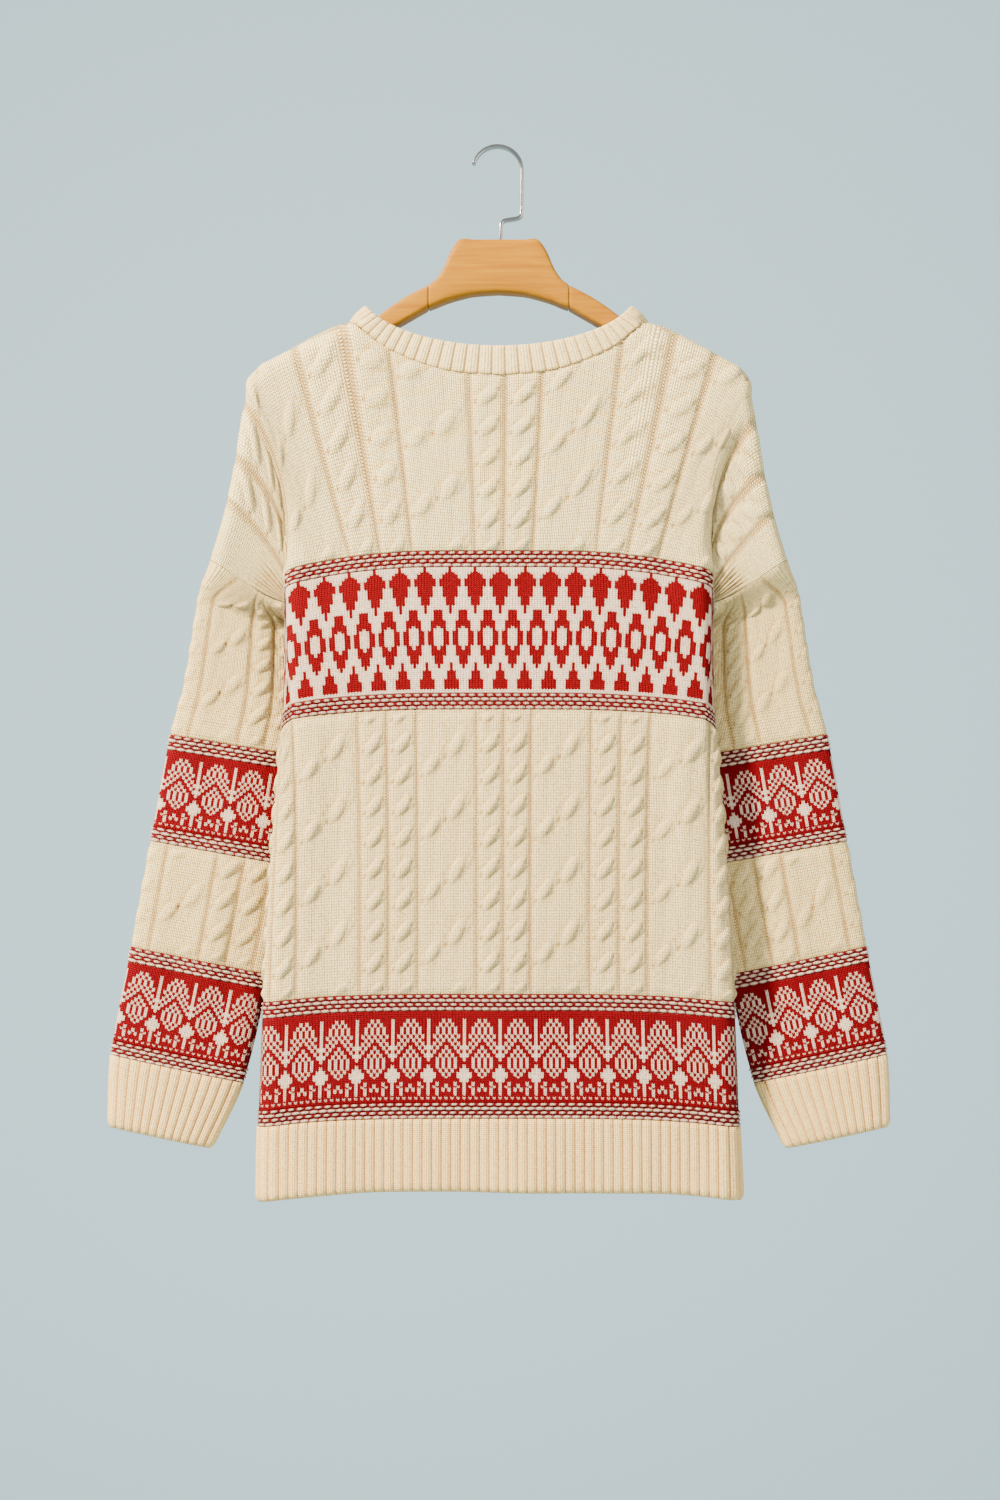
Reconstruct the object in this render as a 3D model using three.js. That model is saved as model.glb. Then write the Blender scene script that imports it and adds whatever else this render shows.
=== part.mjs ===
// A cable-knit crew-neck sweater with two-colour bands, hanging on a wooden hanger with a flat steel hook.
// Millimetres, +Z up. The back of the sweater faces -Y. The origin is where the hook's inner crown
// bears on its rail.
//
// Each panel of the body is a surface in two cloth coordinates: "wale", the distance across the knitting
// from the centre, and "down", the distance down the centre from the neck seam. Cables and ribs rise from
// the outer points of a wall of even thickness over a plain inside.
import * as THREE from "three";
import { mergeVertices } from "three/addons/utils/BufferGeometryUtils.js";

// ---------- driving dimensions ----------
const WALL = 2.4; // thickness of the knitted wall
const SEAM = 0.3; // clearance between neighbouring pieces
const DEPTH = 12.3; // inside of each panel from the hanging plane, clear of the hanger's arm
const HALF_WIDTH = 255; // back panel's cloth from the centre to the side seam
const FRONT_HALF = 174; // front panel's cloth from the centre to the side seam
const NECK_WALE = 91; // where the back panel's neck edge meets the shoulder
const FRONT_NECK_WALE = 86;
const YOKE = 140; // down the centre from the neck seam to the chest band
const CHEST = 125.5; // height of the chest band with its two welts
const MIDDLE = 223.7; // height of the cabled middle
const LOWER = 97.3; // height of the lower band with its two welts
const HEM = 57.5; // height of the hem rib
const CHEST_TOP = -325.5; // height of the chest band's top at the centre
const CROSSING = 24.6; // from one cable crossing to the next
const CABLE_RISE = 2.4; // height of a cable over its purl gutters
const RIB_RISE = 1.3;
const WELT_RISE = 1.4; // the ridges that border each band
const WELT = 13; // height of a welt
const BLOCK_TOP = -75; // top of the hanger's centre block
const WOOD = 21; // thickness of the hanger

const NATURAL = { color: "#efe6d0", roughness: 0.95, metalness: 0 };
const RIBBING = { color: "#f0e0bc", roughness: 0.95, metalness: 0 };
const BEECH = { color: "#cf9a62", roughness: 0.5, metalness: 0 };
const STEEL = { color: "#c9ccd0", roughness: 0.25, metalness: 1 };

const clamp01 = (t) => Math.min(1, Math.max(0, t));
const smooth = (t) => clamp01(t) ** 2 * (3 - 2 * clamp01(t));
const mix = (a, b, t) => a + (b - a) * t;
const evenly = (n) => Array.from({ length: n + 1 }, (_, i) => i / n);

// One named column of a table as a smooth curve over its key column.
function curve(table, key, column) {
  return (at) => {
    const last = table.length - 1;
    let i = 0;
    while (i < last - 1 && at > table[i + 1][key]) i++;
    const [p, q] = [table[i], table[i + 1]];
    const [before, after] = [table[Math.max(0, i - 1)], table[Math.min(last, i + 2)]];
    const span = q[key] - p[key];
    const t = clamp01((at - p[key]) / span);
    const slopeP = (q[column] - before[column]) / (q[key] - before[key]);
    const slopeQ = (after[column] - p[column]) / (after[key] - p[key]);
    const [t2, t3] = [t * t, t * t * t];
    const ends = (2 * t3 - 3 * t2 + 1) * p[column] + (3 * t2 - 2 * t3) * q[column];
    return ends + (t3 - 2 * t2 + t) * span * slopeP + (t3 - t2) * span * slopeQ;
  };
}

// ---------- the body's surface ----------
// Rows of the yoke by wale. x0, z0: where the wale starts, at the neck seam or the shoulder ridge.
// x1, z1, y1: half way down, with y the distance out of the hanging plane. z2: its height at the chest band.
const BACK_YOKE = [
  { wale: 0, x0: 0, z0: -186, x1: 0, z1: -256, y1: 12.3, z2: -325.5 },
  { wale: 36, x0: 46, z0: -181, x1: 41, z1: -253, y1: 12.3, z2: -325.5 },
  { wale: 70, x0: 89, z0: -164.5, x1: 79, z1: -244, y1: 12.3, z2: -326 },
  { wale: 91, x0: 119, z0: -144, x1: 105, z1: -235, y1: 12.3, z2: -327.5 },
  { wale: 97, x0: 132, z0: -150, x1: 115, z1: -238, y1: 12.3, z2: -328 },
  { wale: 122.5, x0: 168, z0: -166, x1: 145, z1: -249, y1: 12.3, z2: -331 },
  { wale: 150, x0: 195.5, z0: -184.5, x1: 165, z1: -259, y1: 12, z2: -339 },
  { wale: 170, x0: 200, z0: -206, x1: 170, z1: -268, y1: 9, z2: -350.8 },
  { wale: 176, x0: 202, z0: -215, x1: 171.5, z1: -277, y1: 4, z2: -353 },
  { wale: 201, x0: 209.5, z0: -262, x1: 173, z1: -309, y1: 0, z2: -358 },
  { wale: 227.5, x0: 217.5, z0: -298, x1: 179.5, z1: -341, y1: 1, z2: -362 },
  { wale: 255, x0: 227.5, z0: -332, x1: 191, z1: -356, y1: 2, z2: -365 },
];
const FRONT_YOKE = [
  { wale: 0, x0: 0, z0: -236, x1: 0, z1: -281, y1: 12.3, z2: -325.5 },
  { wale: 36, x0: 50, z0: -223, x1: 43, z1: -274, y1: 12.3, z2: -325.5 },
  { wale: 66, x0: 88, z0: -193, x1: 76, z1: -259, y1: 12.3, z2: -326 },
  { wale: 79, x0: 108, z0: -166, x1: 93, z1: -246, y1: 12.3, z2: -327 },
  { wale: 86, x0: 119, z0: -144, x1: 102, z1: -235, y1: 12.3, z2: -328 },
  { wale: 107, x0: 168, z0: -166, x1: 136, z1: -250, y1: 12.3, z2: -331 },
  { wale: 122, x0: 195.5, z0: -184.5, x1: 157, z1: -262, y1: 12.3, z2: -337 },
  { wale: 131, x0: 200, z0: -206, x1: 166, z1: -275, y1: 13, z2: -342 },
  { wale: 146, x0: 209.5, z0: -262, x1: 177, z1: -308, y1: 14, z2: -350 },
  { wale: 160, x0: 217.5, z0: -298, x1: 184, z1: -335, y1: 15, z2: -358 },
  { wale: 174, x0: 227.5, z0: -332, x1: 191, z1: -356, y1: 15, z2: -365 },
];
// Rows of the body by height at the centre. edge: half width of the outline. stretch: of the wales in front
// of it. turned: where wale 201 lies, round the folded edge. sag: share of the chest band's droop at the sides.
const BODY = [
  { drop: 0, edge: 170, stretch: 1, turned: 172.8, sag: 1 },
  { drop: 62.5, edge: 170.5, stretch: 0.975, turned: 173.4, sag: 0.62 },
  { drop: 125.5, edge: 171.5, stretch: 0.95, turned: 174.4, sag: 0.4 },
  { drop: 235, edge: 179, stretch: 0.93, turned: 181.4, sag: 0.28 },
  { drop: 349.2, edge: 186, stretch: 0.93, turned: 185.5, sag: 0.25 },
  { drop: 446.5, edge: 189.5, stretch: 0.945, turned: 187, sag: 0.22 },
  { drop: 504, edge: 190, stretch: 0.95, turned: 187, sag: 0.2 },
];
// The shoulder ridge's line and its slope, carried on over the neck, where the cloth starts lower on the
// bend.
const SHOULDER = { x: 119, z: -144, slope: 0.49 };
const bodyEdge = curve(BODY, "drop", "edge");
const bodyStretch = curve(BODY, "drop", "stretch");
const bodyTurned = curve(BODY, "drop", "turned");
const bodySag = curve(BODY, "drop", "sag");
const columnsOf = (table) =>
  Object.fromEntries(Object.keys(table[0]).map((name) => [name, curve(table, "wale", name)]));
const backYoke = columnsOf(BACK_YOKE);
const frontYoke = columnsOf(FRONT_YOKE);
const STRAIGHT = 170; // wales in front of the folded edge
const LAST_ROPE = 201;
const SEAM_TURN = (DEPTH * Math.PI) / 2; // cloth from the start of the edge's bend to the side seam

// Place on the flattened tube's inside at distance u round it from the centre of the back: [x, y].
function tube(u, edge) {
  const flat = edge - WALL - DEPTH;
  if (u <= flat) return [u, -DEPTH];
  const angle = (u - flat) / DEPTH;
  if (angle < Math.PI) return [flat + DEPTH * Math.sin(angle), -DEPTH * Math.cos(angle)];
  return [flat - (u - flat - Math.PI * DEPTH), DEPTH];
}
// How much lower the courses lie at the sides of the body's lower half.
const footSag = (x) => -8 * (x / 190) ** 4;
// Distance round the tube of a wale of the back (side -1) or the front (side 1) panel.
function aroundTube(side, w, drop) {
  const edge = bodyEdge(drop);
  const seam = edge - WALL - DEPTH + SEAM_TURN;
  if (side > 0) {
    const half = Math.PI * DEPTH + 2 * (edge - WALL - DEPTH);
    return half - (w * (half - seam - SEAM)) / FRONT_HALF;
  }
  const straight = STRAIGHT * bodyStretch(drop);
  const turned = bodyTurned(drop);
  if (w <= STRAIGHT) return w * bodyStretch(drop);
  if (w <= LAST_ROPE) return mix(straight, turned, (w - STRAIGHT) / (LAST_ROPE - STRAIGHT));
  return mix(turned, seam, (w - LAST_ROPE) / (HALF_WIDTH - LAST_ROPE));
}
// How far the cloth stands out where it has fallen this far over the hanger's arm.
const bend = (fallen) => Math.sqrt(1 - (1 - clamp01(fallen / DEPTH)) ** 2);
// The inside surface of a panel at a signed wale and a distance down.
function bodyPoint(side, wale, down) {
  const w = Math.abs(wale);
  const hand = wale < 0 ? -1 : 1;
  const yoke = side < 0 ? backYoke : frontYoke;
  const drop = Math.max(0, down - YOKE);
  const [tubeX, tubeY] = tube(aroundTube(side, w, drop), bodyEdge(drop));
  const atChest = (yoke.z2(w) - CHEST_TOP) * bodySag(drop);
  const sagged = CHEST_TOP - drop + mix(atChest, footSag(tubeX), smooth(drop / 300));
  if (down >= YOKE) return new THREE.Vector3(hand * tubeX, tubeY, sagged);
  const s = down / YOKE;
  const through = (a, b, c) => a * (1 - s) * (1 - 2 * s) + b * 4 * s * (1 - s) + c * s * (2 * s - 1);
  const x = through(yoke.x0(w), yoke.x1(w), tubeX);
  const z = through(yoke.z0(w), yoke.z1(w), sagged);
  const [x0, z0] = [yoke.x0(w), yoke.z0(w)];
  const overNeck = w < (side < 0 ? NECK_WALE : FRONT_NECK_WALE);
  const start = overNeck ? DEPTH * bend(SHOULDER.z + (SHOULDER.x - x0) * SHOULDER.slope - z0) : 0;
  const hung = through(DEPTH, yoke.y1(w), side * tubeY);
  const y = mix(Math.max(start, SEAM / 2), hung, bend(Math.hypot(x - x0, z - z0)));
  return new THREE.Vector3(hand * x, side * y, z);
}

// ---------- walls ----------
// Closed body between outer and inner rows of points. A row is { down, across, points }, where across holds each
// point's place along the row, so that rows with their own numbers of points still join up squarely. "ring" joins
// each row's end to its start.
function closedWall(outer, inner, ring) {
  const positions = [];
  const index = [];
  const numbered = (rows) =>
    rows.map(({ down, across, points }) => {
      const ids = points.map((p) => positions.push(p.x, p.y, p.z) / 3 - 1);
      if (!ring) return { down, ids, keys: across };
      return { down, ids: [...ids, ids[0]], keys: [...across, Infinity] };
    });
  const [front, back] = [numbered(outer), numbered(inner)];
  // fills the gap between two lines of points that run side by side
  const strip = (p, q, flip) => {
    let [i, j] = [0, 0];
    while (i < p.ids.length - 1 || j < q.ids.length - 1) {
      const alongP = j === q.ids.length - 1 || (i < p.ids.length - 1 && p.keys[i + 1] <= q.keys[j + 1]);
      const [a, b, c] = alongP ? [p.ids[i], p.ids[++i], q.ids[j]] : [p.ids[i], q.ids[j + 1], q.ids[j++]];
      index.push(a, flip ? c : b, flip ? b : c);
    }
  };
  for (let r = 0; r + 1 < front.length; r++) strip(front[r], front[r + 1], true);
  for (let r = 0; r + 1 < back.length; r++) strip(back[r], back[r + 1], false);
  strip(front[0], back[0], false);
  strip(front.at(-1), back.at(-1), true);
  const edge = (rows, end) => ({
    ids: rows.map((row) => row.ids.at(end)),
    keys: rows.map((row) => row.down),
  });
  if (!ring) {
    strip(edge(front, 0), edge(back, 0), true);
    strip(edge(front, -1), edge(back, -1), false);
  }
  const geometry = new THREE.BufferGeometry();
  geometry.setAttribute("position", new THREE.Float32BufferAttribute(positions, 3));
  geometry.setIndex(index);
  geometry.computeVertexNormals();
  return geometry;
}
// Outward normal of a surface at (u, v), where v runs down the cloth and u runs to the right of it.
function normalOf(surface, u, v, [vFirst, vLast]) {
  const step = 0.5;
  const across = surface(u + step, v).sub(surface(u - step, v));
  const along = surface(u, Math.min(vLast, v + step)).sub(surface(u, Math.max(vFirst, v - step)));
  return along.cross(across).normalize();
}
const flipped = (geometry) => {
  const index = geometry.getIndex().array;
  for (let i = 0; i < index.length; i += 3) [index[i], index[i + 1]] = [index[i + 1], index[i]];
  geometry.computeVertexNormals();
  return geometry;
};

const sweater = new THREE.Group();
function addPart(name, geometry, look) {
  const mesh = new THREE.Mesh(geometry, new THREE.MeshStandardMaterial(look));
  mesh.name = name;
  sweater.add(mesh);
}

// ---------- back and front panels ----------
// Purl gutters between the cables, from the centre out.
const BACK_GUTTERS = [0, 22.9, 72.7, 97.6, 121.7, 175.4];
const FRONT_GUTTERS = [0, 22.5, 70, 95, 120];
const BACK_COLUMNS = [0, 7.6, 15.3, 22.9, 34, 47.8, 61.6, 72.7, 81, 87, 89.5, 91, 97.6, 105.6, 113.7, 121.7]
  .concat([133.5, 148.5, 163.5, 175.4, 188, 201, 228, 255]);
const FRONT_COLUMNS = [
  0, 7.5, 15, 22.5, 33, 46.2, 59.5, 70, 77, 82, 84.5, 85.6, 86, 95, 103.4, 111.7, 120, 131, 146, 160, 174,
];
const mirrored = (half) => [...half.slice(1).map((w) => -w).reverse(), ...half];
const WIDE_CABLE = 40; // gutters farther apart than this hold a diamond cable, nearer ones a rope

// Height of the cables over the wall at a wale and a count of half crossings.
function cableRise(gutters, wale, count) {
  const w = Math.abs(wale);
  const i = gutters.findLastIndex((gutter) => gutter <= w + 0.01);
  if (i === gutters.length - 1 || w - gutters[i] < 0.05) return 0;
  const t = (w - gutters[i]) / (gutters[i + 1] - gutters[i]);
  if (gutters[i + 1] - gutters[i] < WIDE_CABLE) {
    return CABLE_RISE * (0.85 + 0.15 * Math.cos(Math.PI * (count + 2 * t)));
  }
  const spread = 0.28 * Math.abs(((count + 2) % 4) / 2 - 1);
  const off = Math.abs(Math.abs(t - 0.5) - (0.28 - spread));
  return CABLE_RISE * (0.4 + 0.75 * Math.max(0, 1 - off / 0.25));
}
// Rows of a panel: how far down each is, what rises there, and the crossings counted to it.
function panelRows(perYoke, perMiddle) {
  const rows = [0, 0.011, 0.04, 0.082].map((s) => ({ down: s * YOKE, cable: s / 0.082, count: perYoke }));
  for (let i = 1; i < perYoke; i++) {
    rows.push({ down: mix(0.082, 1, i / perYoke) * YOKE, cable: 1, count: perYoke - i });
  }
  const band = (top, height) => {
    for (const t of [0, 0.5, 1]) rows.push({ down: top + t * WELT, welt: t === 0.5 });
    rows.push({ down: top + height / 2 });
    for (const t of [1, 0.5, 0]) rows.push({ down: top + height - t * WELT, welt: t === 0.5 });
  };
  band(YOKE, CHEST);
  for (let i = 1; i < perMiddle; i++) {
    rows.push({ down: YOKE + CHEST + (MIDDLE * i) / perMiddle, cable: 1, count: i });
  }
  band(YOKE + CHEST + MIDDLE, LOWER);
  return rows;
}
function panel(side, columns, gutters, perYoke, perMiddle) {
  const surface = (w, down) => bodyPoint(side, w, down);
  const end = YOKE + CHEST + MIDDLE + LOWER - 1.5 * SEAM;
  const wide = columns.at(-1);
  const point = (w, down, lift) => {
    const inside = Math.sign(w) * Math.min(Math.abs(w), wide - 0.6);
    const normal = normalOf(surface, inside, down, [0, end]).multiplyScalar(-side);
    const p = surface(w, Math.min(down, end)).addScaledVector(normal, lift);
    if (down === 0) p.y = side * Math.max(side * p.y, SEAM / 2);
    return p;
  };
  const across = mirrored(columns);
  const rows = panelRows(perYoke, perMiddle);
  const outer = rows.map(({ down, cable = 0, count = 0, welt = false }) => {
    const rise = (w) => cable * cableRise(gutters, w, count) + (welt ? WELT_RISE : 0);
    return { down, across, points: across.map((w) => point(w, down, WALL + rise(w))) };
  });
  const plainDown = [0, 0.011, 0.04, 0.082, 0.17, 0.28, 0.4, 0.52, 0.64, 0.76, 0.88, 1].map((s) => s * YOKE);
  for (const t of evenly(6).slice(1)) plainDown.push(mix(YOKE, end, t));
  const plainAcross = mirrored(columns.filter((w, i) => i % 3 === 0 || w > columns.at(-5)));
  const inner = plainDown.map((down, i) => {
    const places = i < 4 ? across : plainAcross;
    return { down, across: places, points: places.map((w) => point(w, down, 0)) };
  });
  const geometry = closedWall(outer, inner, false);
  return side < 0 ? geometry : flipped(geometry);
}
addPart("back_panel", panel(-1, BACK_COLUMNS, BACK_GUTTERS, 13, 18), NATURAL);
addPart("front_panel", panel(1, FRONT_COLUMNS, FRONT_GUTTERS, 8, 12), NATURAL);

// Outer and inner rows of a ribbed ring. point(part, row, lift) takes the part of a turn and gives a place.
function ribbedRing(downs, ribs, plainSides, point) {
  const around = evenly(2 * ribs).slice(0, -1);
  const plain = evenly(plainSides).slice(0, -1);
  const ribbed = (part, i, down) => point(part, down, WALL + (i % 2) * RIB_RISE);
  const row = (down, across, points) => ({ down, across, points });
  return [
    downs.map((down) => row(down, around, around.map((part, i) => ribbed(part, i, down)))),
    [row(downs[0], around, around.map((part) => point(part, downs[0], 0)))].concat(
      row(downs.at(-1), plain, plain.map((part) => point(part, downs.at(-1), 0))),
    ),
  ];
}

// ---------- neckband ----------
// A ribbed ring that stands on the neck seam. Its top edge, by turn from the right shoulder: half width in x,
// the height at the shoulder, and how far the back and the front dip below that.
const NECK_TOP = { x: 103, z: -130, backDip: 32, frontDip: 81 };
const NECK_RIBS = 66;
// The neck edge of a panel, by turn: a point of its inside, the outward normal and the way up out of the cloth.
function neckEdge(turn) {
  const side = turn <= Math.PI ? -1 : 1;
  const wale = (side < 0 ? NECK_WALE : FRONT_NECK_WALE) * Math.cos(turn) * 0.999;
  const surface = (w, down) => bodyPoint(side, w, down);
  const base = surface(wale, 0);
  base.y = side * Math.max(side * base.y, SEAM / 2);
  const normal = normalOf(surface, wale, 0, [0, YOKE]).multiplyScalar(-side);
  const along = surface(wale + 0.5, 0).sub(surface(wale - 0.5, 0));
  const up = along.cross(normal).normalize();
  if (up.dot(neckTop(turn).sub(base)) < 0) up.negate();
  return { base, normal, up };
}
function neckTop(turn) {
  const across = Math.abs(Math.sin(turn));
  const dip = turn <= Math.PI ? NECK_TOP.backDip * across ** 1.3 : NECK_TOP.frontDip * across ** 1.5;
  const x = NECK_TOP.x * Math.cos(turn);
  const fallen = dip + (NECK_TOP.x - Math.abs(x)) * SHOULDER.slope;
  const y = (turn <= Math.PI ? -1 : 1) * DEPTH * bend(fallen);
  return new THREE.Vector3(x, y, NECK_TOP.z - dip);
}
// Side of the ring that faces out at a turn, so that ribs and wall stand square to the loop.
function neckOut(turn) {
  const step = 0.02;
  const before = neckTop((turn - step + 2 * Math.PI) % (2 * Math.PI));
  const along = neckTop((turn + step) % (2 * Math.PI)).sub(before);
  const leaning = neckTop(turn).sub(neckEdge(turn).base).normalize();
  return along.cross(leaning).normalize();
}
function neckPoint(turn, t, lift) {
  const { base, normal, up } = neckEdge(turn);
  const start = base.clone().addScaledVector(up, SEAM + 0.3 + 0.9 * Math.abs(Math.cos(turn)) ** 6);
  const square = neckOut(turn);
  if (square.dot(normal) < 0) square.negate();
  const out = normal.clone().lerp(square, smooth(t * 1.6)).normalize();
  return start.lerp(neckTop(turn), t).addScaledVector(out, lift);
}
{
  const rows = [0, 0.5, 1];
  const point = (part, t, lift) => neckPoint(part * 2 * Math.PI, t, lift);
  const [outer, inner] = ribbedRing(rows, NECK_RIBS, 44, point);
  addPart("neckband", closedWall(outer, inner, true), RIBBING);
}

// ---------- hem rib ----------
const HEM_RIBS = 104;
{
  const [top, foot] = [CHEST + MIDDLE + LOWER, CHEST + MIDDLE + LOWER + HEM];
  const hemPoint = (part, drop, lift) => {
    const edge = bodyEdge(drop);
    const half = 2 * (edge - WALL - DEPTH) + Math.PI * DEPTH;
    const u = Math.abs(part - 0.5) * 2 * half;
    const [x, y] = tube(u, edge);
    const [nearX, nearY] = tube(u + 0.5, edge);
    const along = new THREE.Vector2(nearX - x, nearY - y).normalize();
    const hand = part < 0.5 ? -1 : 1;
    const z = CHEST_TOP - drop + footSag(x);
    return new THREE.Vector3(hand * (x + along.y * lift), y - along.x * lift, z);
  };
  const [outer, inner] = ribbedRing([top, foot], HEM_RIBS, 40, hemPoint);
  addPart("hem_rib", closedWall(outer, inner, true), RIBBING);
}

// ---------- sleeves ----------
// Sections of the hanging sleeve's inside, from the armhole down: outer and inner end (x, z), how far each end
// stands behind the hanging plane, and half the sleeve's thickness.
const SLEEVE = [
  { at: 0, outX: 238.5, outZ: -363, inX: 155, inZ: -394, outY: 11, inY: 35, half: 8 },
  { at: 85, outX: 250.5, outZ: -434, inX: 152, inZ: -451, outY: 15, inY: 31, half: 8 },
  { at: 121, outX: 260.5, outZ: -470, inX: 157, inZ: -487, outY: 16, inY: 30, half: 8 },
  { at: 206, outX: 276, outZ: -555, inX: 171, inZ: -574, outY: 17, inY: 29, half: 8 },
  { at: 291, outX: 291, outZ: -639, inX: 187, inZ: -661, outY: 17, inY: 27, half: 8 },
  { at: 375, outX: 306, outZ: -722, inX: 206, inZ: -744, outY: 16, inY: 22, half: 8 },
  { at: 435, outX: 308, outZ: -781.5, inX: 231, inZ: -798.5, outY: 14, inY: 18, half: 7 },
];
const SLEEVE_END = 378; // where the cuff begins
const CUFF_END = 435;
const UNDERARM_BULGE = 18; // how hard the sleeve stands out from the body's edge below the underarm
const ARMHOLE_BLEND = 62; // height of the sleeve from the armhole seam to the first full section
const sleeveAt = Object.fromEntries(
  Object.keys(SLEEVE[0]).map((name) => [name, curve(SLEEVE, "at", name)]),
);
// A point of the sleeve's inside; turn 0 is its outer edge, a quarter turn its near side.
function sleeveSection(turn, at) {
  const full = (c) => Math.sign(c) * Math.abs(c) ** 0.8;
  const t = (1 - full(Math.cos(turn))) / 2;
  const x = mix(sleeveAt.outX(at), sleeveAt.inX(at), t);
  const z = mix(sleeveAt.outZ(at), sleeveAt.inZ(at), t);
  const y = mix(sleeveAt.outY(at), sleeveAt.inY(at), t) - sleeveAt.half(at) * full(Math.sin(turn));
  return new THREE.Vector3(x, y, z);
}
// The sleeve's top edge, laid against the armhole's edge. Near the underarm it turns back on the outer rim.
function armholeRim(turn) {
  const side = turn <= Math.PI ? -1 : 1;
  const s = turn <= Math.PI ? turn / Math.PI : 2 - turn / Math.PI;
  const wide = side < 0 ? HALF_WIDTH : FRONT_HALF;
  const surface = (w, down) => bodyPoint(side, w, down);
  const down = s * YOKE;
  const base = surface(wide, down);
  base.y = side < 0 ? Math.min(base.y, 30) : base.y;
  if (s < 0.02) base.y = side * Math.max(side * base.y, SEAM / 2);
  const normal = normalOf(surface, wide - 0.6, down, [0, YOKE]).multiplyScalar(-side);
  const outOf = surface(wide, down).sub(surface(wide - 3, down)).normalize();
  const ring = new THREE.Vector3(Math.cos(turn), -Math.sin(turn), 0);
  const turned = smooth((s - 0.35) / 0.5);
  const own = normal.clone().lerp(ring, turned).normalize();
  const away = outOf.lerp(new THREE.Vector3(1, 0, 0), turned).normalize();
  const rim = base.addScaledVector(normal, WALL).addScaledVector(away, SEAM + 0.15 + 1.9 * turned);
  return { rim, own, turned };
}
const rims = new Map();
function rimAt(turn) {
  const key = turn.toFixed(5);
  if (!rims.has(key)) rims.set(key, armholeRim(turn));
  return rims.get(key);
}
function sleeveInside(turn, at) {
  const round = (turn + 2 * Math.PI) % (2 * Math.PI);
  if (at >= 0) return sleeveSection(round, at);
  const { rim, own, turned } = rimAt(round);
  const start = rim.clone().addScaledVector(own, -WALL);
  const end = sleeveSection(round, 0);
  const leaving = end.clone().sub(start);
  const arriving = sleeveSection(round, 10).sub(end).setLength(leaving.length());
  leaving.x = mix(leaving.x, UNDERARM_BULGE, turned);
  const t = 1 + at / ARMHOLE_BLEND;
  const [t2, t3] = [t * t, t * t * t];
  const point = start.multiplyScalar(2 * t3 - 3 * t2 + 1).addScaledVector(leaving, t3 - 2 * t2 + t);
  return point.addScaledVector(end, 3 * t2 - 2 * t3).addScaledVector(arriving, t3 - t2);
}
function sleevePoint(turn, at, lift) {
  if (at === -ARMHOLE_BLEND) {
    const { rim, own } = rimAt((turn + 2 * Math.PI) % (2 * Math.PI));
    return rim.clone().addScaledVector(own, lift - WALL);
  }
  const step = 0.03;
  const across = sleeveInside(turn + step, at).sub(sleeveInside(turn - step, at));
  const above = sleeveInside(turn, Math.max(at - 1, -ARMHOLE_BLEND));
  const along = sleeveInside(turn, Math.min(at + 1, CUFF_END)).sub(above);
  const normal = across.cross(along).normalize();
  return sleeveInside(turn, at).addScaledVector(normal, lift);
}
// Where gutters run down the sleeve, as parts of half a turn from its outer edge.
const SLEEVE_GUTTERS = [0.1, 0.47, 0.67, 0.87];
const SLEEVE_COLUMNS = [0, 0.1, 0.22, 0.285, 0.35, 0.47, 0.54, 0.6, 0.67, 0.74, 0.8, 0.87, 0.94];
const CUFF_RIBS = 26;
function sleeveRise(part, count) {
  const t = part <= 1 ? part : 2 - part;
  const i = SLEEVE_GUTTERS.findLastIndex((gutter) => gutter <= t + 0.001);
  if (i < 0) return CABLE_RISE * 0.7;
  if (i === SLEEVE_GUTTERS.length - 1 || t - SLEEVE_GUTTERS[i] < 0.005) return 0;
  const gutters = SLEEVE_GUTTERS.map((gutter) => gutter * 130);
  return cableRise(gutters, t * 130, count);
}
const sleeveRows = [{ at: -ARMHOLE_BLEND }];
for (const at of [-56, -49, -42, -34, -26, -17, -8]) sleeveRows.push({ at });
for (let i = 0; i < 10; i++) sleeveRows.push({ at: i * 12.1, cable: 1, count: i });
const sleeveBand = (top, height) => {
  for (const at of [0, 6, 12]) sleeveRows.push({ at: top + at, welt: at === 6 });
  for (const at of [12, 6, 0]) sleeveRows.push({ at: top + height - at, welt: at === 6 });
};
sleeveBand(121, 85);
for (let i = 1; i < 7; i++) sleeveRows.push({ at: 206 + i * 12.1, cable: 1, count: i });
sleeveBand(291, SLEEVE_END - 291);
const mirroredMesh = (geometry) => flipped(geometry.clone().scale(-1, 1, 1));
{
  const otherHalf = SLEEVE_COLUMNS.map((part) => 2 - part).filter((part) => part < 2);
  const parts = [...SLEEVE_COLUMNS, ...otherHalf.reverse()];
  const outer = sleeveRows.map(({ at, cable = 0, count = 0, welt = false }) => {
    const rise = (part) => cable * sleeveRise(part, count) + (welt ? WELT_RISE : 0);
    const points = parts.map((part) => sleevePoint(part * Math.PI, at, WALL + rise(part)));
    return { down: at, across: parts, points };
  });
  const plain = [-ARMHOLE_BLEND, -49, -34, -17, 0, 40, 85, 121, 206, 291, SLEEVE_END];
  const inner = plain.map((at, i) => {
    const places = i < 2 ? parts : evenly(16).slice(0, -1).map((part) => 2 * part);
    return { down: at, across: places, points: places.map((part) => sleevePoint(part * Math.PI, at, 0)) };
  });
  const sleeve = flipped(closedWall(outer, inner, true));
  addPart("sleeve_right", sleeve, NATURAL);
  addPart("sleeve_left", mirroredMesh(sleeve), NATURAL);

  const cuffPoint = (part, at, lift) => sleevePoint(part * 2 * Math.PI, at, lift);
  const [cuffOuter, cuffInner] = ribbedRing([SLEEVE_END + SEAM, CUFF_END], CUFF_RIBS, 16, cuffPoint);
  const cuff = flipped(closedWall(cuffOuter, cuffInner, true));
  addPart("cuff_right", cuff, RIBBING);
  addPart("cuff_left", mirroredMesh(cuff), RIBBING);
}

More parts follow.
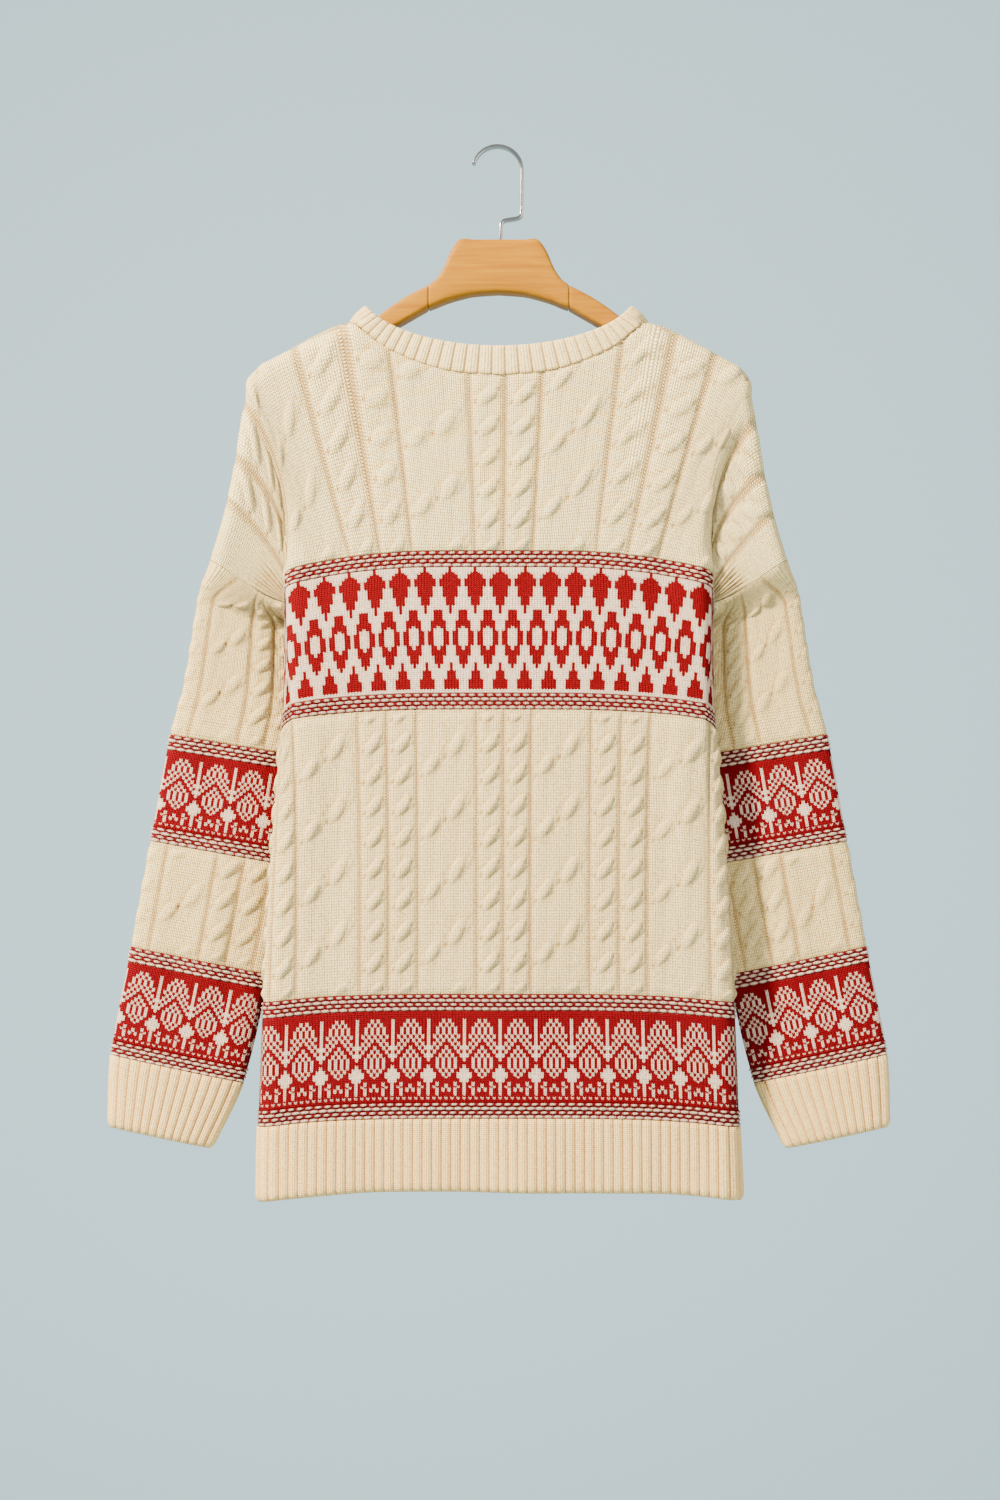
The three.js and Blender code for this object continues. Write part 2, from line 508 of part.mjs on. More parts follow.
// ---------- hanger ----------
// Outline of the centre block and of an arm, seen from the front: right half, from the top round to the foot.
const BLOCK_TOP_EDGE = [
  { x: 31, z: BLOCK_TOP }, { x: 38, z: -84 }, { x: 44, z: -99 }, { x: 50, z: -107 }, { x: 55.8, z: -111.8 },
];
const BLOCK_FOOT = [{ x: 55.8, z: -130.5 }, { x: 40, z: -124.5 }, { x: 20, z: -119.5 }];
const ARM_TOP = [
  { x: 56.2, z: -112 }, { x: 75, z: -122 }, { x: 91, z: -133 }, { x: 104, z: -143.8 }, { x: 119, z: -151 },
  { x: 140, z: -159 }, { x: 168, z: -172 }, { x: 181, z: -180.5 }, { x: 186, z: -187.5 },
];
const ARM_FOOT = [
  { x: 186, z: -195 }, { x: 181, z: -201 }, { x: 168, z: -196 }, { x: 140, z: -181 }, { x: 112, z: -166 },
  { x: 91, z: -151 }, { x: 75, z: -141.5 }, { x: 56.2, z: -130.6 },
];
const BLOCK_ROUNDING = 3;
const ARM_ROUNDING = 5;
function woodPiece(outline, rounding) {
  const shape = new THREE.Shape(outline.map(({ x, z }) => new THREE.Vector2(x, z)));
  const geometry = new THREE.ExtrudeGeometry(shape, {
    depth: WOOD - 2 * rounding,
    bevelThickness: rounding,
    bevelSize: rounding,
    bevelOffset: -rounding,
    bevelSegments: 3,
    curveSegments: 1,
  });
  geometry.translate(0, 0, -WOOD / 2 + rounding);
  geometry.rotateX(Math.PI / 2);
  geometry.deleteAttribute("normal");
  geometry.deleteAttribute("uv");
  const merged = mergeVertices(geometry, 0.001);
  merged.computeVertexNormals();
  return merged;
}
const leftOf = (points) => points.map(({ x, z }) => ({ x: -x, z })).reverse();
const blockOutline = [
  ...BLOCK_TOP_EDGE, ...BLOCK_FOOT, { x: 0, z: -118 }, ...leftOf(BLOCK_FOOT), ...leftOf(BLOCK_TOP_EDGE),
];
addPart("hanger_centre", woodPiece(blockOutline, BLOCK_ROUNDING), BEECH);
const arm = woodPiece([...ARM_TOP, ...ARM_FOOT], ARM_ROUNDING);
addPart("hanger_arm_right", arm, BEECH);
addPart("hanger_arm_left", mirroredMesh(arm), BEECH);

// ---------- hook ----------
// A bent strip. Its centre line runs from the tip over the crown and down into the block.
const STRIP = { wide: 6.5, thick: 2.6 };
const HOOK_RADIUS = 19.7; // of the strip's centre line
const HOOK_CENTRE = { x: -1, z: -18.4 };
const HOOK_TIP_TURN = 2.88; // turn of the tip from the right-hand side
const HOOK_FOOT = [
  { x: 18.2, z: -40 }, { x: 17.2, z: -52 }, { x: 12, z: -58.5 }, { x: 4.5, z: -62.5 }, { x: 2, z: -67 },
  { x: 1.8, z: BLOCK_TOP + SEAM },
];
{
  const line = [];
  for (const t of evenly(18)) {
    const turn = mix(HOOK_TIP_TURN, 0, t);
    const x = HOOK_CENTRE.x + HOOK_RADIUS * Math.cos(turn);
    line.push(new THREE.Vector3(x, 0, HOOK_CENTRE.z + HOOK_RADIUS * Math.sin(turn)));
  }
  for (const { x, z } of HOOK_FOOT) line.push(new THREE.Vector3(x, 0, z));
  const corners = [[1, 1], [-1, 1], [-1, -1], [1, -1]];
  const sections = line.map((p, i) => {
    const tangent = line[Math.min(line.length - 1, i + 1)].clone().sub(line[Math.max(0, i - 1)]).normalize();
    if (i === line.length - 1) tangent.set(0, 0, -1);
    const out = new THREE.Vector3(-tangent.z, 0, tangent.x);
    return corners.map(([a, b]) =>
      p.clone()
        .addScaledVector(out, (a * STRIP.thick) / 2)
        .add(new THREE.Vector3(0, (b * STRIP.wide) / 2, 0)),
    );
  });
  const positions = sections.flat().flatMap((p) => [p.x, p.y, p.z]);
  const index = [0, 1, 2, 0, 2, 3];
  for (let i = 0; i + 1 < sections.length; i++) {
    for (let k = 0; k < 4; k++) {
      const [a, b] = [4 * i + k, 4 * i + ((k + 1) % 4)];
      index.push(a, a + 4, b, b, a + 4, b + 4);
    }
  }
  const last = 4 * (sections.length - 1);
  index.push(last, last + 2, last + 1, last, last + 3, last + 2);
  const geometry = new THREE.BufferGeometry();
  geometry.setAttribute("position", new THREE.Float32BufferAttribute(positions, 3));
  geometry.setIndex(index);
  geometry.computeVertexNormals();
  addPart("hanger_hook", geometry, STEEL);
}

export default sweater;
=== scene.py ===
# %% [markdown]
# A cable-knit sweater, seen from its back, hanging on a wooden hanger with a flat steel hook.
# Each lesson cell says what a piece is on the real sweater and how it is worked out here. All lengths
# inside the functions are millimetres, as knitters measure, and the last step of each piece turns them to
# metres. +Z is up, and the back of the sweater faces -Y.

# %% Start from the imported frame
import math

import bpy
import numpy as np
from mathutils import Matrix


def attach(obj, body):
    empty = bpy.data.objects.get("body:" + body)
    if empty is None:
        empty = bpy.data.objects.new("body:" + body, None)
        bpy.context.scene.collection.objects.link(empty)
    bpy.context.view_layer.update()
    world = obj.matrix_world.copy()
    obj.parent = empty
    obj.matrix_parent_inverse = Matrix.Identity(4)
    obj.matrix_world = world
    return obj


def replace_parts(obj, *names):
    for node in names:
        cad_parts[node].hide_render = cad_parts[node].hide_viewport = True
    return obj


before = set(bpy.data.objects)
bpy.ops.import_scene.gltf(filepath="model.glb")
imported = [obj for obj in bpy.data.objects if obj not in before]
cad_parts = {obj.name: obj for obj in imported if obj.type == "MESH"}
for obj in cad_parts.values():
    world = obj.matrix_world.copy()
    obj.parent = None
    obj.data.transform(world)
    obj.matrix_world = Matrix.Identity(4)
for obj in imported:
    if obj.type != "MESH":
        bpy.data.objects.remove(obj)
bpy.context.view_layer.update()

# %% [markdown]
# A handful of curves and measures settle the whole garment. Knitting is best thought of in its own
# coordinates: a "wale" is a column of stitches, so a point is so many millimetres of wale from the centre,
# and so many millimetres down from the neck. The solid frame has the same numbers, except that the rows at
# the sides of the chest band, and just below it, lie up to 9 mm higher or lower there. The cloth only slides
# along itself for that: it keeps its place in depth.

# %% Measures of the knitting, in millimetres
WALL = 2.4  # thickness of the knitting
SEAM = 0.3
DEPTH = 12.3  # how far each panel's inside stands out of the hanging plane
HALF_WIDTH = {-1: 255, 1: 174}  # of the back (-1) and the front (1), from the centre to the side seam
NECK_WALE = {-1: 91, 1: 86}
YOKE, CHEST, MIDDLE, LOWER, HEM = 140, 125.5, 223.7, 97.3, 57.5  # heights from the neck down
CHEST_TOP = -325.5
CROSSING = 24.6  # from one cable crossing to the next
WELT = 13  # height of the ridged rows beside a band
STITCH, ROW = 2.5, 1.6  # width and height of a stitch
CABLE_STITCH, CABLE_ROW = 2.8, 2.2  # the cabled cloth draws its stitches larger, so that its grain shows
RIB_REACH = 0.8  # half the width of the groove between two ribs


def mix(a, b, t):
    return a + (b - a) * t


def smooth(t):
    """Eases from 0 to 1 as t does: 3t^2 - 2t^3."""
    t = np.clip(t, 0, 1)
    return t * t * (3 - 2 * t)


def unit(v):
    return v / np.linalg.norm(v, axis=-1, keepdims=True)


def curve(keys, values):
    """A smooth curve through the values at the keys: each span is a cubic whose end slopes are the slopes
    between the neighbours on either side."""
    keys, values = np.asarray(keys, float), np.asarray(values, float)
    last = len(keys) - 1

    def at(x):
        x = np.asarray(x, float)
        p = np.clip(np.searchsorted(keys, x) - 1, 0, last - 1)
        q, before, after = p + 1, np.maximum(p - 1, 0), np.minimum(p + 2, last)
        span = keys[q] - keys[p]
        t = np.clip((x - keys[p]) / span, 0, 1)
        slope_p = (values[q] - values[before]) / (keys[q] - keys[before])
        slope_q = (values[after] - values[p]) / (keys[after] - keys[p])
        ends = (2 * t**3 - 3 * t**2 + 1) * values[p] + (3 * t**2 - 2 * t**3) * values[q]
        return ends + (t**3 - 2 * t**2 + t) * span * slope_p + (t**3 - t**2) * span * slope_q

    return at


def columns(names, rows):
    """A table's columns after the first, each as a curve over the first."""
    table = np.array(rows, float)
    return {name: curve(table[:, 0], table[:, i + 1]) for i, name in enumerate(names)}


# %% [markdown]
# The yoke is the part above the chest band. Each wale of it starts at the neck seam or at the shoulder
# ridge, passes a half-way point, and ends at the band; the side wales fall away over the hanger's end and
# turn back, which makes the drop shoulder. Below it the body is a flattened tube with rounded edges, a
# little wider at the foot, and the side seam hides inside the rounded edge.

# %% Tables of the yoke and the body
# wale, x and z where it starts, x, z and distance from the hanging plane half way, z at the chest band
PLACES = ("x0", "z0", "x1", "z1", "y1", "z2")
YOKES = {
    -1: columns(PLACES, [
        (0, 0, -186, 0, -256, 12.3, -325.5),
        (36, 46, -181, 41, -253, 12.3, -325.5),
        (70, 89, -164.5, 79, -244, 12.3, -326),
        (91, 119, -144, 105, -235, 12.3, -327.5),
        (97, 132, -150, 115, -238, 12.3, -328),
        (122.5, 168, -166, 145, -249, 12.3, -331),
        (150, 195.5, -184.5, 165, -259, 12, -336),
        (170, 200, -206, 170, -268, 9, -342),
        (176, 202, -215, 171.5, -277, 4, -346),
        (201, 209.5, -262, 173, -309, 0, -358),
        (227.5, 217.5, -298, 179.5, -341, 1, -362),
        (255, 227.5, -332, 191, -356, 2, -365),
    ]),
    1: columns(PLACES, [
        (0, 0, -236, 0, -281, 12.3, -325.5),
        (36, 50, -223, 43, -274, 12.3, -325.5),
        (66, 88, -193, 76, -259, 12.3, -326),
        (79, 108, -166, 93, -246, 12.3, -327),
        (86, 119, -144, 102, -235, 12.3, -328),
        (107, 168, -166, 136, -250, 12.3, -331),
        (122, 195.5, -184.5, 157, -262, 12.3, -337),
        (131, 200, -206, 166, -275, 13, -342),
        (146, 209.5, -262, 177, -308, 14, -350),
        (160, 217.5, -298, 184, -335, 15, -358),
        (174, 227.5, -332, 191, -356, 15, -365),
    ]),
}
# drop below the chest band's top, half width of the outline, stretch of the wales, where wale 201 lies, sag
BODY = columns(("edge", "stretch", "turned", "sag"), [
    (0, 170, 1, 172.8, 1),
    (62.5, 170.5, 0.975, 173.4, 0.75),
    (125.5, 171.5, 0.95, 174.4, 0.6),
    (235, 179, 0.93, 181.4, 0.3),
    (349.2, 186, 0.93, 185.5, 0.25),
    (446.5, 189.5, 0.945, 187, 0.22),
    (504, 190, 0.95, 187, 0.2),
])
STRAIGHT, LAST_ROPE = 170, 201
SEAM_TURN = DEPTH * math.pi / 2
SHOULDER = {"x": 119, "z": -144, "slope": 0.49}


# %% The body's surface
def bend(fallen):
    """How far out of the plane cloth stands, as part of DEPTH, once it has fallen this far over a round
    edge: the height of a quarter circle."""
    return np.sqrt(np.maximum(0, 1 - (1 - np.clip(fallen / DEPTH, 0, 1)) ** 2))


def tube(u, edge):
    """Distance u round a flattened tube as (x, y): straight along the back, a half circle round the edge,
    straight along the front."""
    flat = edge - WALL - DEPTH
    angle = np.clip((u - flat) / DEPTH, 0, math.pi)
    past = np.maximum(0, u - flat - math.pi * DEPTH)
    x = np.minimum(u, flat) + DEPTH * np.sin(angle) - past
    return x, -DEPTH * np.cos(angle)


def around_tube(side, w, drop):
    """Distance round the tube at which a wale lies: stretched straight in front of the folded edge, then
    squeezed together behind it as far as the side seam."""
    edge = BODY["edge"](drop)
    seam = edge - WALL - DEPTH + SEAM_TURN
    if side > 0:
        half = math.pi * DEPTH + 2 * (edge - WALL - DEPTH)
        return half - w * (half - seam - SEAM) / HALF_WIDTH[1]
    turned = BODY["turned"](drop)
    straight = np.minimum(w, STRAIGHT) * BODY["stretch"](drop)
    behind = straight + (turned - straight) * np.clip((w - STRAIGHT) / (LAST_ROPE - STRAIGHT), 0, 1)
    return behind + (seam - turned) * np.clip((w - LAST_ROPE) / (HALF_WIDTH[-1] - LAST_ROPE), 0, 1)


def foot_sag(x):
    """How far the rows sink at x near the foot: as its fourth power."""
    return -8 * (x / 190) ** 4


def body_inside(side, wale, down):
    """The inside of a panel. In the yoke a wale runs through its three places as a parabola; below it the
    wale keeps its distance round the tube and only sinks."""
    w, hand = np.abs(wale), np.where(wale < 0, -1.0, 1.0)
    yoke = YOKES[side]
    drop = np.maximum(0, down - YOKE)
    tube_x, tube_y = tube(around_tube(side, w, drop), BODY["edge"](drop))
    at_chest = (yoke["z2"](w) - CHEST_TOP) * BODY["sag"](drop)
    sagged = CHEST_TOP - drop + mix(at_chest, foot_sag(tube_x), smooth(drop / 300))
    s = np.minimum(down / YOKE, 1)

    def through(a, b, c):
        return a * (1 - s) * (1 - 2 * s) + b * 4 * s * (1 - s) + c * s * (2 * s - 1)

    x0, z0 = yoke["x0"](w), yoke["z0"](w)
    x, z = through(x0, yoke["x1"](w), tube_x), through(z0, yoke["z1"](w), sagged)
    over_neck = bend(SHOULDER["z"] + (SHOULDER["x"] - x0) * SHOULDER["slope"] - z0)
    start = np.where(w < NECK_WALE[side], DEPTH * over_neck, 0)
    hung = through(DEPTH, yoke["y1"](w), side * tube_y)
    y = side * mix(np.maximum(start, SEAM / 2), hung, bend(np.hypot(x - x0, z - z0)))
    below = down >= YOKE
    return np.stack([hand * np.where(below, tube_x, x), np.where(below, tube_y, y),
                     np.where(below, sagged, z)], axis=-1)


def body_place(side, wale, down, lift):
    """A point lifted out of the panel's inside along its normal, the cross product of the two small steps
    down and across the cloth."""
    inside = np.sign(wale) * np.minimum(np.abs(wale), HALF_WIDTH[side] - 0.6)
    foot = YOKE + CHEST + MIDDLE + LOWER
    across = body_inside(side, inside + 0.5, down) - body_inside(side, inside - 0.5, down)
    along = (body_inside(side, inside, np.minimum(foot, down + 0.5))
             - body_inside(side, inside, np.maximum(0, down - 0.5)))
    normal = -side * unit(np.cross(along, across))
    place = body_inside(side, wale, down) + normal * np.asarray(lift)[..., None]
    top = np.broadcast_to(down, place.shape[:-1]) <= 0
    place[..., 1] = np.where(top, side * np.maximum(side * place[..., 1], SEAM / 2), place[..., 1])
    return place


print("the body's edge is", float(BODY["edge"](0)), "mm from the centre at the chest band")

# %% [markdown]
# Knitting is a wall of even thickness, so each piece is made as a closed shell: a fine outer grid that
# carries the cables and the colours, and a coarser inner grid, joined all round. Every quad of the outer
# grid can have its own colour, which is how one stitch becomes red while its neighbour stays white. The
# map coordinates count stitches across and rows up, and the knit material draws its loops from them.


# %% Build a closed knitted shell
def linear(code):
    """An sRGB hex colour as linear red, green, blue."""
    s = np.array([int(code[i : i + 2], 16) / 255 for i in (1, 3, 5)])
    return np.where(s <= 0.04045, s / 12.92, ((s + 0.055) / 1.055) ** 2.4)


# the third colour, the sleeves' cream, is the body's yarn made a little darker and warmer: painted shade, as
# the sleeves hang behind the body and catch less light
CREAM, MIDDLE_CREAM, SHADED_SLEEVE_CREAM = linear("#ffecac"), linear("#ffe8a8"), linear("#ffe6a0")
# each pair below is a ribbing's cream and the painted shade of its grooves
RIB_CREAM_AND_GROOVE_SHADE = linear("#f4d28a"), linear("#d0802c")
NECK_CREAM_AND_GROOVE_SHADE = linear("#fbe3a0"), linear("#c09044")
RED, DEEP_RED, WHITE = linear("#80000b"), linear("#7c000e"), linear("#fde2c8")
# the tan of the painted shade in the cabled cloth's gutters, holes and hollows
PAINTED_CREAM_SHADE = linear("#b4823a")


def grid_faces(rows, cols, first, ring, flip):
    """Quads of a grid of rows x cols points, as corner ids and as places in the grid of corners."""
    wide = cols if ring else cols - 1
    r, c = np.meshgrid(np.arange(rows - 1), np.arange(wide), indexing="ij")
    corner = [(r, c), (r, c + 1), (r + 1, c + 1), (r + 1, c)]
    if flip:
        corner.reverse()
    ids = np.stack([first + a * cols + b % cols for a, b in corner], -1).reshape(-1, 4)
    spots = np.stack([a * (cols + 1) + b for a, b in corner], -1).reshape(-1, 4)
    return ids, spots


def fan(fine, coarse, flip):
    """Triangles between a fine line of points and a coarse one whose every span covers as many fine spans:
    a fan from each coarse point, and one more triangle to the next."""
    share = (len(fine) - 1) // (len(coarse) - 1)
    i = np.arange(len(fine) - 1)
    j = np.arange(len(coarse) - 1)
    fans = np.stack([fine[i], fine[i + 1], coarse[i // share]], -1)
    joins = np.stack([fine[(j + 1) * share], coarse[j + 1], coarse[j]], -1)
    faces = np.concatenate([fans, joins])
    return faces[:, ::-1] if flip else faces


def knitted(name, outer, inner, stitches, paint, inside, material, ring=False):
    """outer and inner are grids of points (rows, columns, 3); the inner one has every k-th row and column.
    stitches (rows, columns + 1, 2) are the map coordinates. paint is a colour, and how closed the stitches
    are, for each corner (rows, columns + 1, 4) or for each quad (rows - 1, quads across, 4). The grids
    turn outwards where the outer normals point away from the inner wall."""
    rows, cols = outer.shape[:2]
    a, b = rows // 2, cols // 2
    face = np.cross(outer[a, b + 1] - outer[a, b], outer[a, b] - outer[a - 1, b])
    nearest = inner.reshape(-1, 3)[np.argmin(((inner.reshape(-1, 3) - outer[a, b]) ** 2).sum(-1))]
    flip = float(face @ (outer[a, b] - nearest)) < 0
    in_rows, in_cols = inner.shape[:2]
    start = rows * cols
    quads, spots = grid_faces(rows, cols, 0, ring, flip)
    back, _ = grid_faces(in_rows, in_cols, start, ring, not flip)
    fine = np.arange(start).reshape(rows, cols)
    coarse = start + np.arange(in_rows * in_cols).reshape(in_rows, in_cols)
    if ring:
        fine = np.concatenate([fine, fine[:, :1]], 1)
        coarse = np.concatenate([coarse, coarse[:, :1]], 1)
    rims = [fan(fine[0], coarse[0], not flip), fan(fine[-1], coarse[-1], flip)]
    if not ring:
        rims += [fan(fine[:, 0], coarse[:, 0], flip), fan(fine[:, -1], coarse[:, -1], not flip)]
    rims = np.concatenate(rims)
    corners = np.concatenate([quads.ravel(), back.ravel(), rims.ravel()])
    sizes = np.concatenate([np.full(len(quads) + len(back), 4), np.full(len(rims), 3)])
    points = np.concatenate([outer.reshape(-1, 3), inner.reshape(-1, 3)]) / 1000
    mesh = bpy.data.meshes.new(name)
    mesh.vertices.add(len(points))
    mesh.vertices.foreach_set("co", points.astype(np.float32).ravel())
    mesh.loops.add(len(corners))
    mesh.loops.foreach_set("vertex_index", corners.astype(np.int32))
    mesh.polygons.add(len(sizes))
    mesh.polygons.foreach_set("loop_start", (np.cumsum(sizes) - sizes).astype(np.int32))
    mesh.update(calc_edges=True)
    mesh.validate()
    mesh.polygons.foreach_set("use_smooth", np.ones(len(mesh.polygons), bool))
    plain = len(corners) - quads.size
    coords = stitches.reshape(-1, 2)[spots.ravel()]
    spare = points[corners[quads.size :]][:, [0, 2]] * 1000 / [STITCH, ROW]
    layer = mesh.uv_layers.new(name="stitches")
    layer.data.foreach_set("uv", np.concatenate([coords, spare]).astype(np.float32).ravel())
    if paint.shape[0] == rows - 1:
        colours = np.repeat(paint.reshape(-1, 4), 4, axis=0)
    else:
        colours = paint.reshape(-1, 4)[spots.ravel()]
    back_paint = np.tile([*inside, 1.0], (plain, 1))
    # the yarn attribute holds each corner's colour, with any painted shade and highlight laid in, and how
    # closed the stitches are
    attribute = mesh.color_attributes.new("yarn", "FLOAT_COLOR", "CORNER")
    attribute.data.foreach_set("color", np.concatenate([colours, back_paint]).astype(np.float32).ravel())
    mesh.materials.append(material)
    piece = bpy.data.objects.new(name, mesh)
    bpy.context.scene.collection.objects.link(piece)
    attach(piece, "root")
    print(f"{name}: {len(quads) * 2 + len(back) * 2 + len(rims):,} triangles")
    return piece


# %% [markdown]
# The material. A knitted stitch is a V of two yarn legs. Half a stitch to the left and right of its middle,
# each leg leans outwards, and the next row's V sits in it. The bump is worked out from the stitch map: how
# far along a leg a point is, and how far from the leg's middle. The colour darkens and warms between the
# legs as painted shade. A stitch is some 2.5 mm wide, so in a whole view it reads as a fine woven grain.
# Wool scatters light between its fibres, so it has high roughness and a soft sheen at its edges. Where the
# stitches stand open, a lattice of holes shows between them, painted dark as shade.


# %% Nodes and the knit material
def node(tree, kind, inputs=(), **settings):
    """Add a node, set its properties, then its inputs: a value, or another node's output socket."""
    new = tree.nodes.new(kind)
    for key, value in settings.items():
        setattr(new, key, value)
    for key, value in dict(inputs).items():
        if isinstance(value, bpy.types.NodeSocket):
            tree.links.new(value, new.inputs[key])
        else:
            new.inputs[key].default_value = value
    return new


def sums(tree, operation, *values, clamp=False):
    """One step of arithmetic, and its result."""
    step = node(tree, "ShaderNodeMath", dict(enumerate(values)), operation=operation, use_clamp=clamp)
    return step.outputs[0]


def new_material(name):
    material = bpy.data.materials.new(name)
    material.use_nodes = True
    tree = material.node_tree
    tree.nodes.clear()
    return material, tree


def knit_material(name, fuzz, depth, grain):
    """Wool-blend knitting in stockinette, matte, its colour kept in the yarn attribute with the painted shade
    laid into it. grain sets how far the colour darkens and warms between the stitch legs as painted shade,
    and the open stitches' holes are painted dark as shade too.
    """
    material, tree = new_material(name)
    place = node(tree, "ShaderNodeUVMap", uv_map="stitches").outputs[0]
    split = node(tree, "ShaderNodeSeparateXYZ", {0: place})
    u, v = split.outputs[0], split.outputs[1]
    middle = sums(tree, "ABSOLUTE", sums(tree, "SUBTRACT", sums(tree, "FRACT", u), 0.5))
    leg = sums(tree, "FRACT", sums(tree, "ADD", v, sums(tree, "MULTIPLY", middle, -1.1)))
    along = sums(tree, "SINE", sums(tree, "MULTIPLY", leg, math.pi))
    beside = sums(tree, "SINE", sums(tree, "MULTIPLY", middle, 2 * math.pi))
    loop = sums(tree, "MULTIPLY", sums(tree, "POWER", along, 0.6), sums(tree, "POWER", beside, 0.7))
    yarn = node(tree, "ShaderNodeAttribute", attribute_name="yarn", attribute_type="GEOMETRY")
    cells = sums(tree, "MULTIPLY",
                 sums(tree, "SINE", sums(tree, "MULTIPLY", u, 2 * math.pi)),
                 sums(tree, "SINE", sums(tree, "MULTIPLY", v, 2 * math.pi)))
    openness = sums(tree, "SUBTRACT", 1.0, yarn.outputs["Alpha"])
    hole = sums(tree, "MULTIPLY", sums(tree, "MULTIPLY_ADD", cells, 2.2, -0.2, clamp=True), openness)
    coords = node(tree, "ShaderNodeTexCoord").outputs["Object"]
    fibre = node(tree, "ShaderNodeTexNoise", {"Vector": coords, "Scale": 620.0, "Detail": 3.0})
    cloudy = node(tree, "ShaderNodeTexNoise", {"Vector": coords, "Scale": 22.0, "Detail": 2.0})
    # painted shade: darker and warmer between the stitch legs and in the holes; the fibre and cloudy noises
    # only vary the tone
    low = sums(tree, "MULTIPLY", sums(tree, "SUBTRACT", 1.0, loop), grain)
    low = sums(tree, "ADD", low, sums(tree, "MULTIPLY", hole, 1.3))
    low = sums(tree, "MULTIPLY_ADD", fibre.outputs[0], -1.3, sums(tree, "ADD", low, 0.62))
    low = sums(tree, "MULTIPLY_ADD", cloudy.outputs[0], -0.12, sums(tree, "ADD", low, 0.06), clamp=True)
    gap_shade = node(tree, "ShaderNodeVectorMath", {0: yarn.outputs["Color"], 1: (0.4, 0.27, 0.14)},
                operation="MULTIPLY")
    shaded = node(tree, "ShaderNodeMix", {0: low, 6: yarn.outputs["Color"], 7: gap_shade.outputs[0]},
                  data_type="RGBA")
    height = sums(tree, "MULTIPLY_ADD", fibre.outputs[0], 0.25, loop)
    height = sums(tree, "SUBTRACT", height, hole)
    bump = node(tree, "ShaderNodeBump", {"Height": height, "Strength": depth, "Distance": 0.001})
    cloth = node(tree, "ShaderNodeBsdfPrincipled", {
        "Base Color": shaded.outputs[2], "Normal": bump.outputs[0], "Roughness": 0.92, "IOR": 1.46,
        "Sheen Weight": fuzz, "Sheen Roughness": 0.45, "Sheen Tint": yarn.outputs["Color"],
        "Specular IOR Level": 0.1,
    })
    node(tree, "ShaderNodeOutputMaterial", {0: cloth.outputs[0]})
    return material


STOCKINETTE = knit_material("wool blend stockinette", 0.2, 1.0, 0.85)
RIBBING = knit_material("wool blend ribbing", 0.2, 0.7, 0.6)
print("knit materials:", STOCKINETTE.name, "and", RIBBING.name)

# %% [markdown]
# Cables. On a real needle two strands of stitches swap places every so many rows. At a crossing the
# strand in front stands up as a leaning leaf, the one behind sinks, and the cloth is drawn apart into
# small holes beside them, which are painted dark as shade. Narrow purl gutters part the cables; they are
# painted warmer and darker as shade, and their stitches open into a fine lattice near the shoulders.
# Narrow panels hold a rope of two strands. Wide ones hold two crossings side by side, the left one lower,
# so their leaves climb like stairs.

# %% Relief and colour of the cabled cloth
GUTTERS = {
    -1: [-221.3, -198.3, -175.4, -121.7, -97.6, -72.7, -22.9,
         0, 22.9, 72.7, 97.6, 121.7, 175.4, 198.3, 221.3],
    1: [-120, -95, -70, -22.5, 0, 22.5, 70, 95, 120],
}
CENTRE = 4.0  # the pattern's middle lies this far right of the seam-to-seam middle on the back


def oval(across, up, lean, half_length, half_width):
    """Squared distance from a point, 1 on the rim of an oval that leans from the vertical."""
    a = (across * math.sin(lean) + up * math.cos(lean)) / half_length
    b = (across * math.cos(lean) - up * math.sin(lean)) / half_width
    return a * a + b * b


def mound(*place):
    """A bell over an oval, 1 at its middle."""
    return np.exp(-(oval(*place) ** 1.2))


def leaf(*place):
    """Half an egg over an oval, 1 at its middle, with a firm edge."""
    return np.sqrt(np.clip(1 - oval(*place), 0, 1))


def phase(course, pitch, start=0.0):
    """Distance from the nearest repeat of a pitch along the cloth, in millimetres."""
    return (np.mod(course / pitch + start + 0.5, 1) - 0.5) * pitch


def crossing(x, up, pitch, spread, thick):
    """Height and holes of two strands that swap sides once a pitch. The front strand runs from lower left
    to upper right: its middle follows a smooth step from -spread to spread, and its section is half an
    oval. The other one mirrors it and sinks at the crossing."""
    sway = np.clip(up / (0.3 * pitch), -1, 1)
    middle = spread * sway * (1.5 - 0.5 * sway**2)
    slope = spread * 1.5 * (1 - sway**2) / (0.3 * pitch)
    wide = thick * np.sqrt(1 + slope**2)
    front = np.sqrt(np.clip(1 - ((x - middle) / wide) ** 2, 0, 1))
    behind = np.sqrt(np.clip(1 - ((x + middle) / wide) ** 2, 0, 1))
    near = np.exp(-((up / (0.26 * pitch)) ** 2))
    height = np.maximum((1 + 0.75 * near) * front, (1 - 0.65 * near) * behind)
    hole = mound(x + spread + 0.5 * thick, up + 0.22 * pitch, 0.25, 2.4, 1.2)
    return height, hole + 0.6 * mound(x - spread - 0.5 * thick, up - 0.22 * pitch, 0.25, 2.2, 1.0)


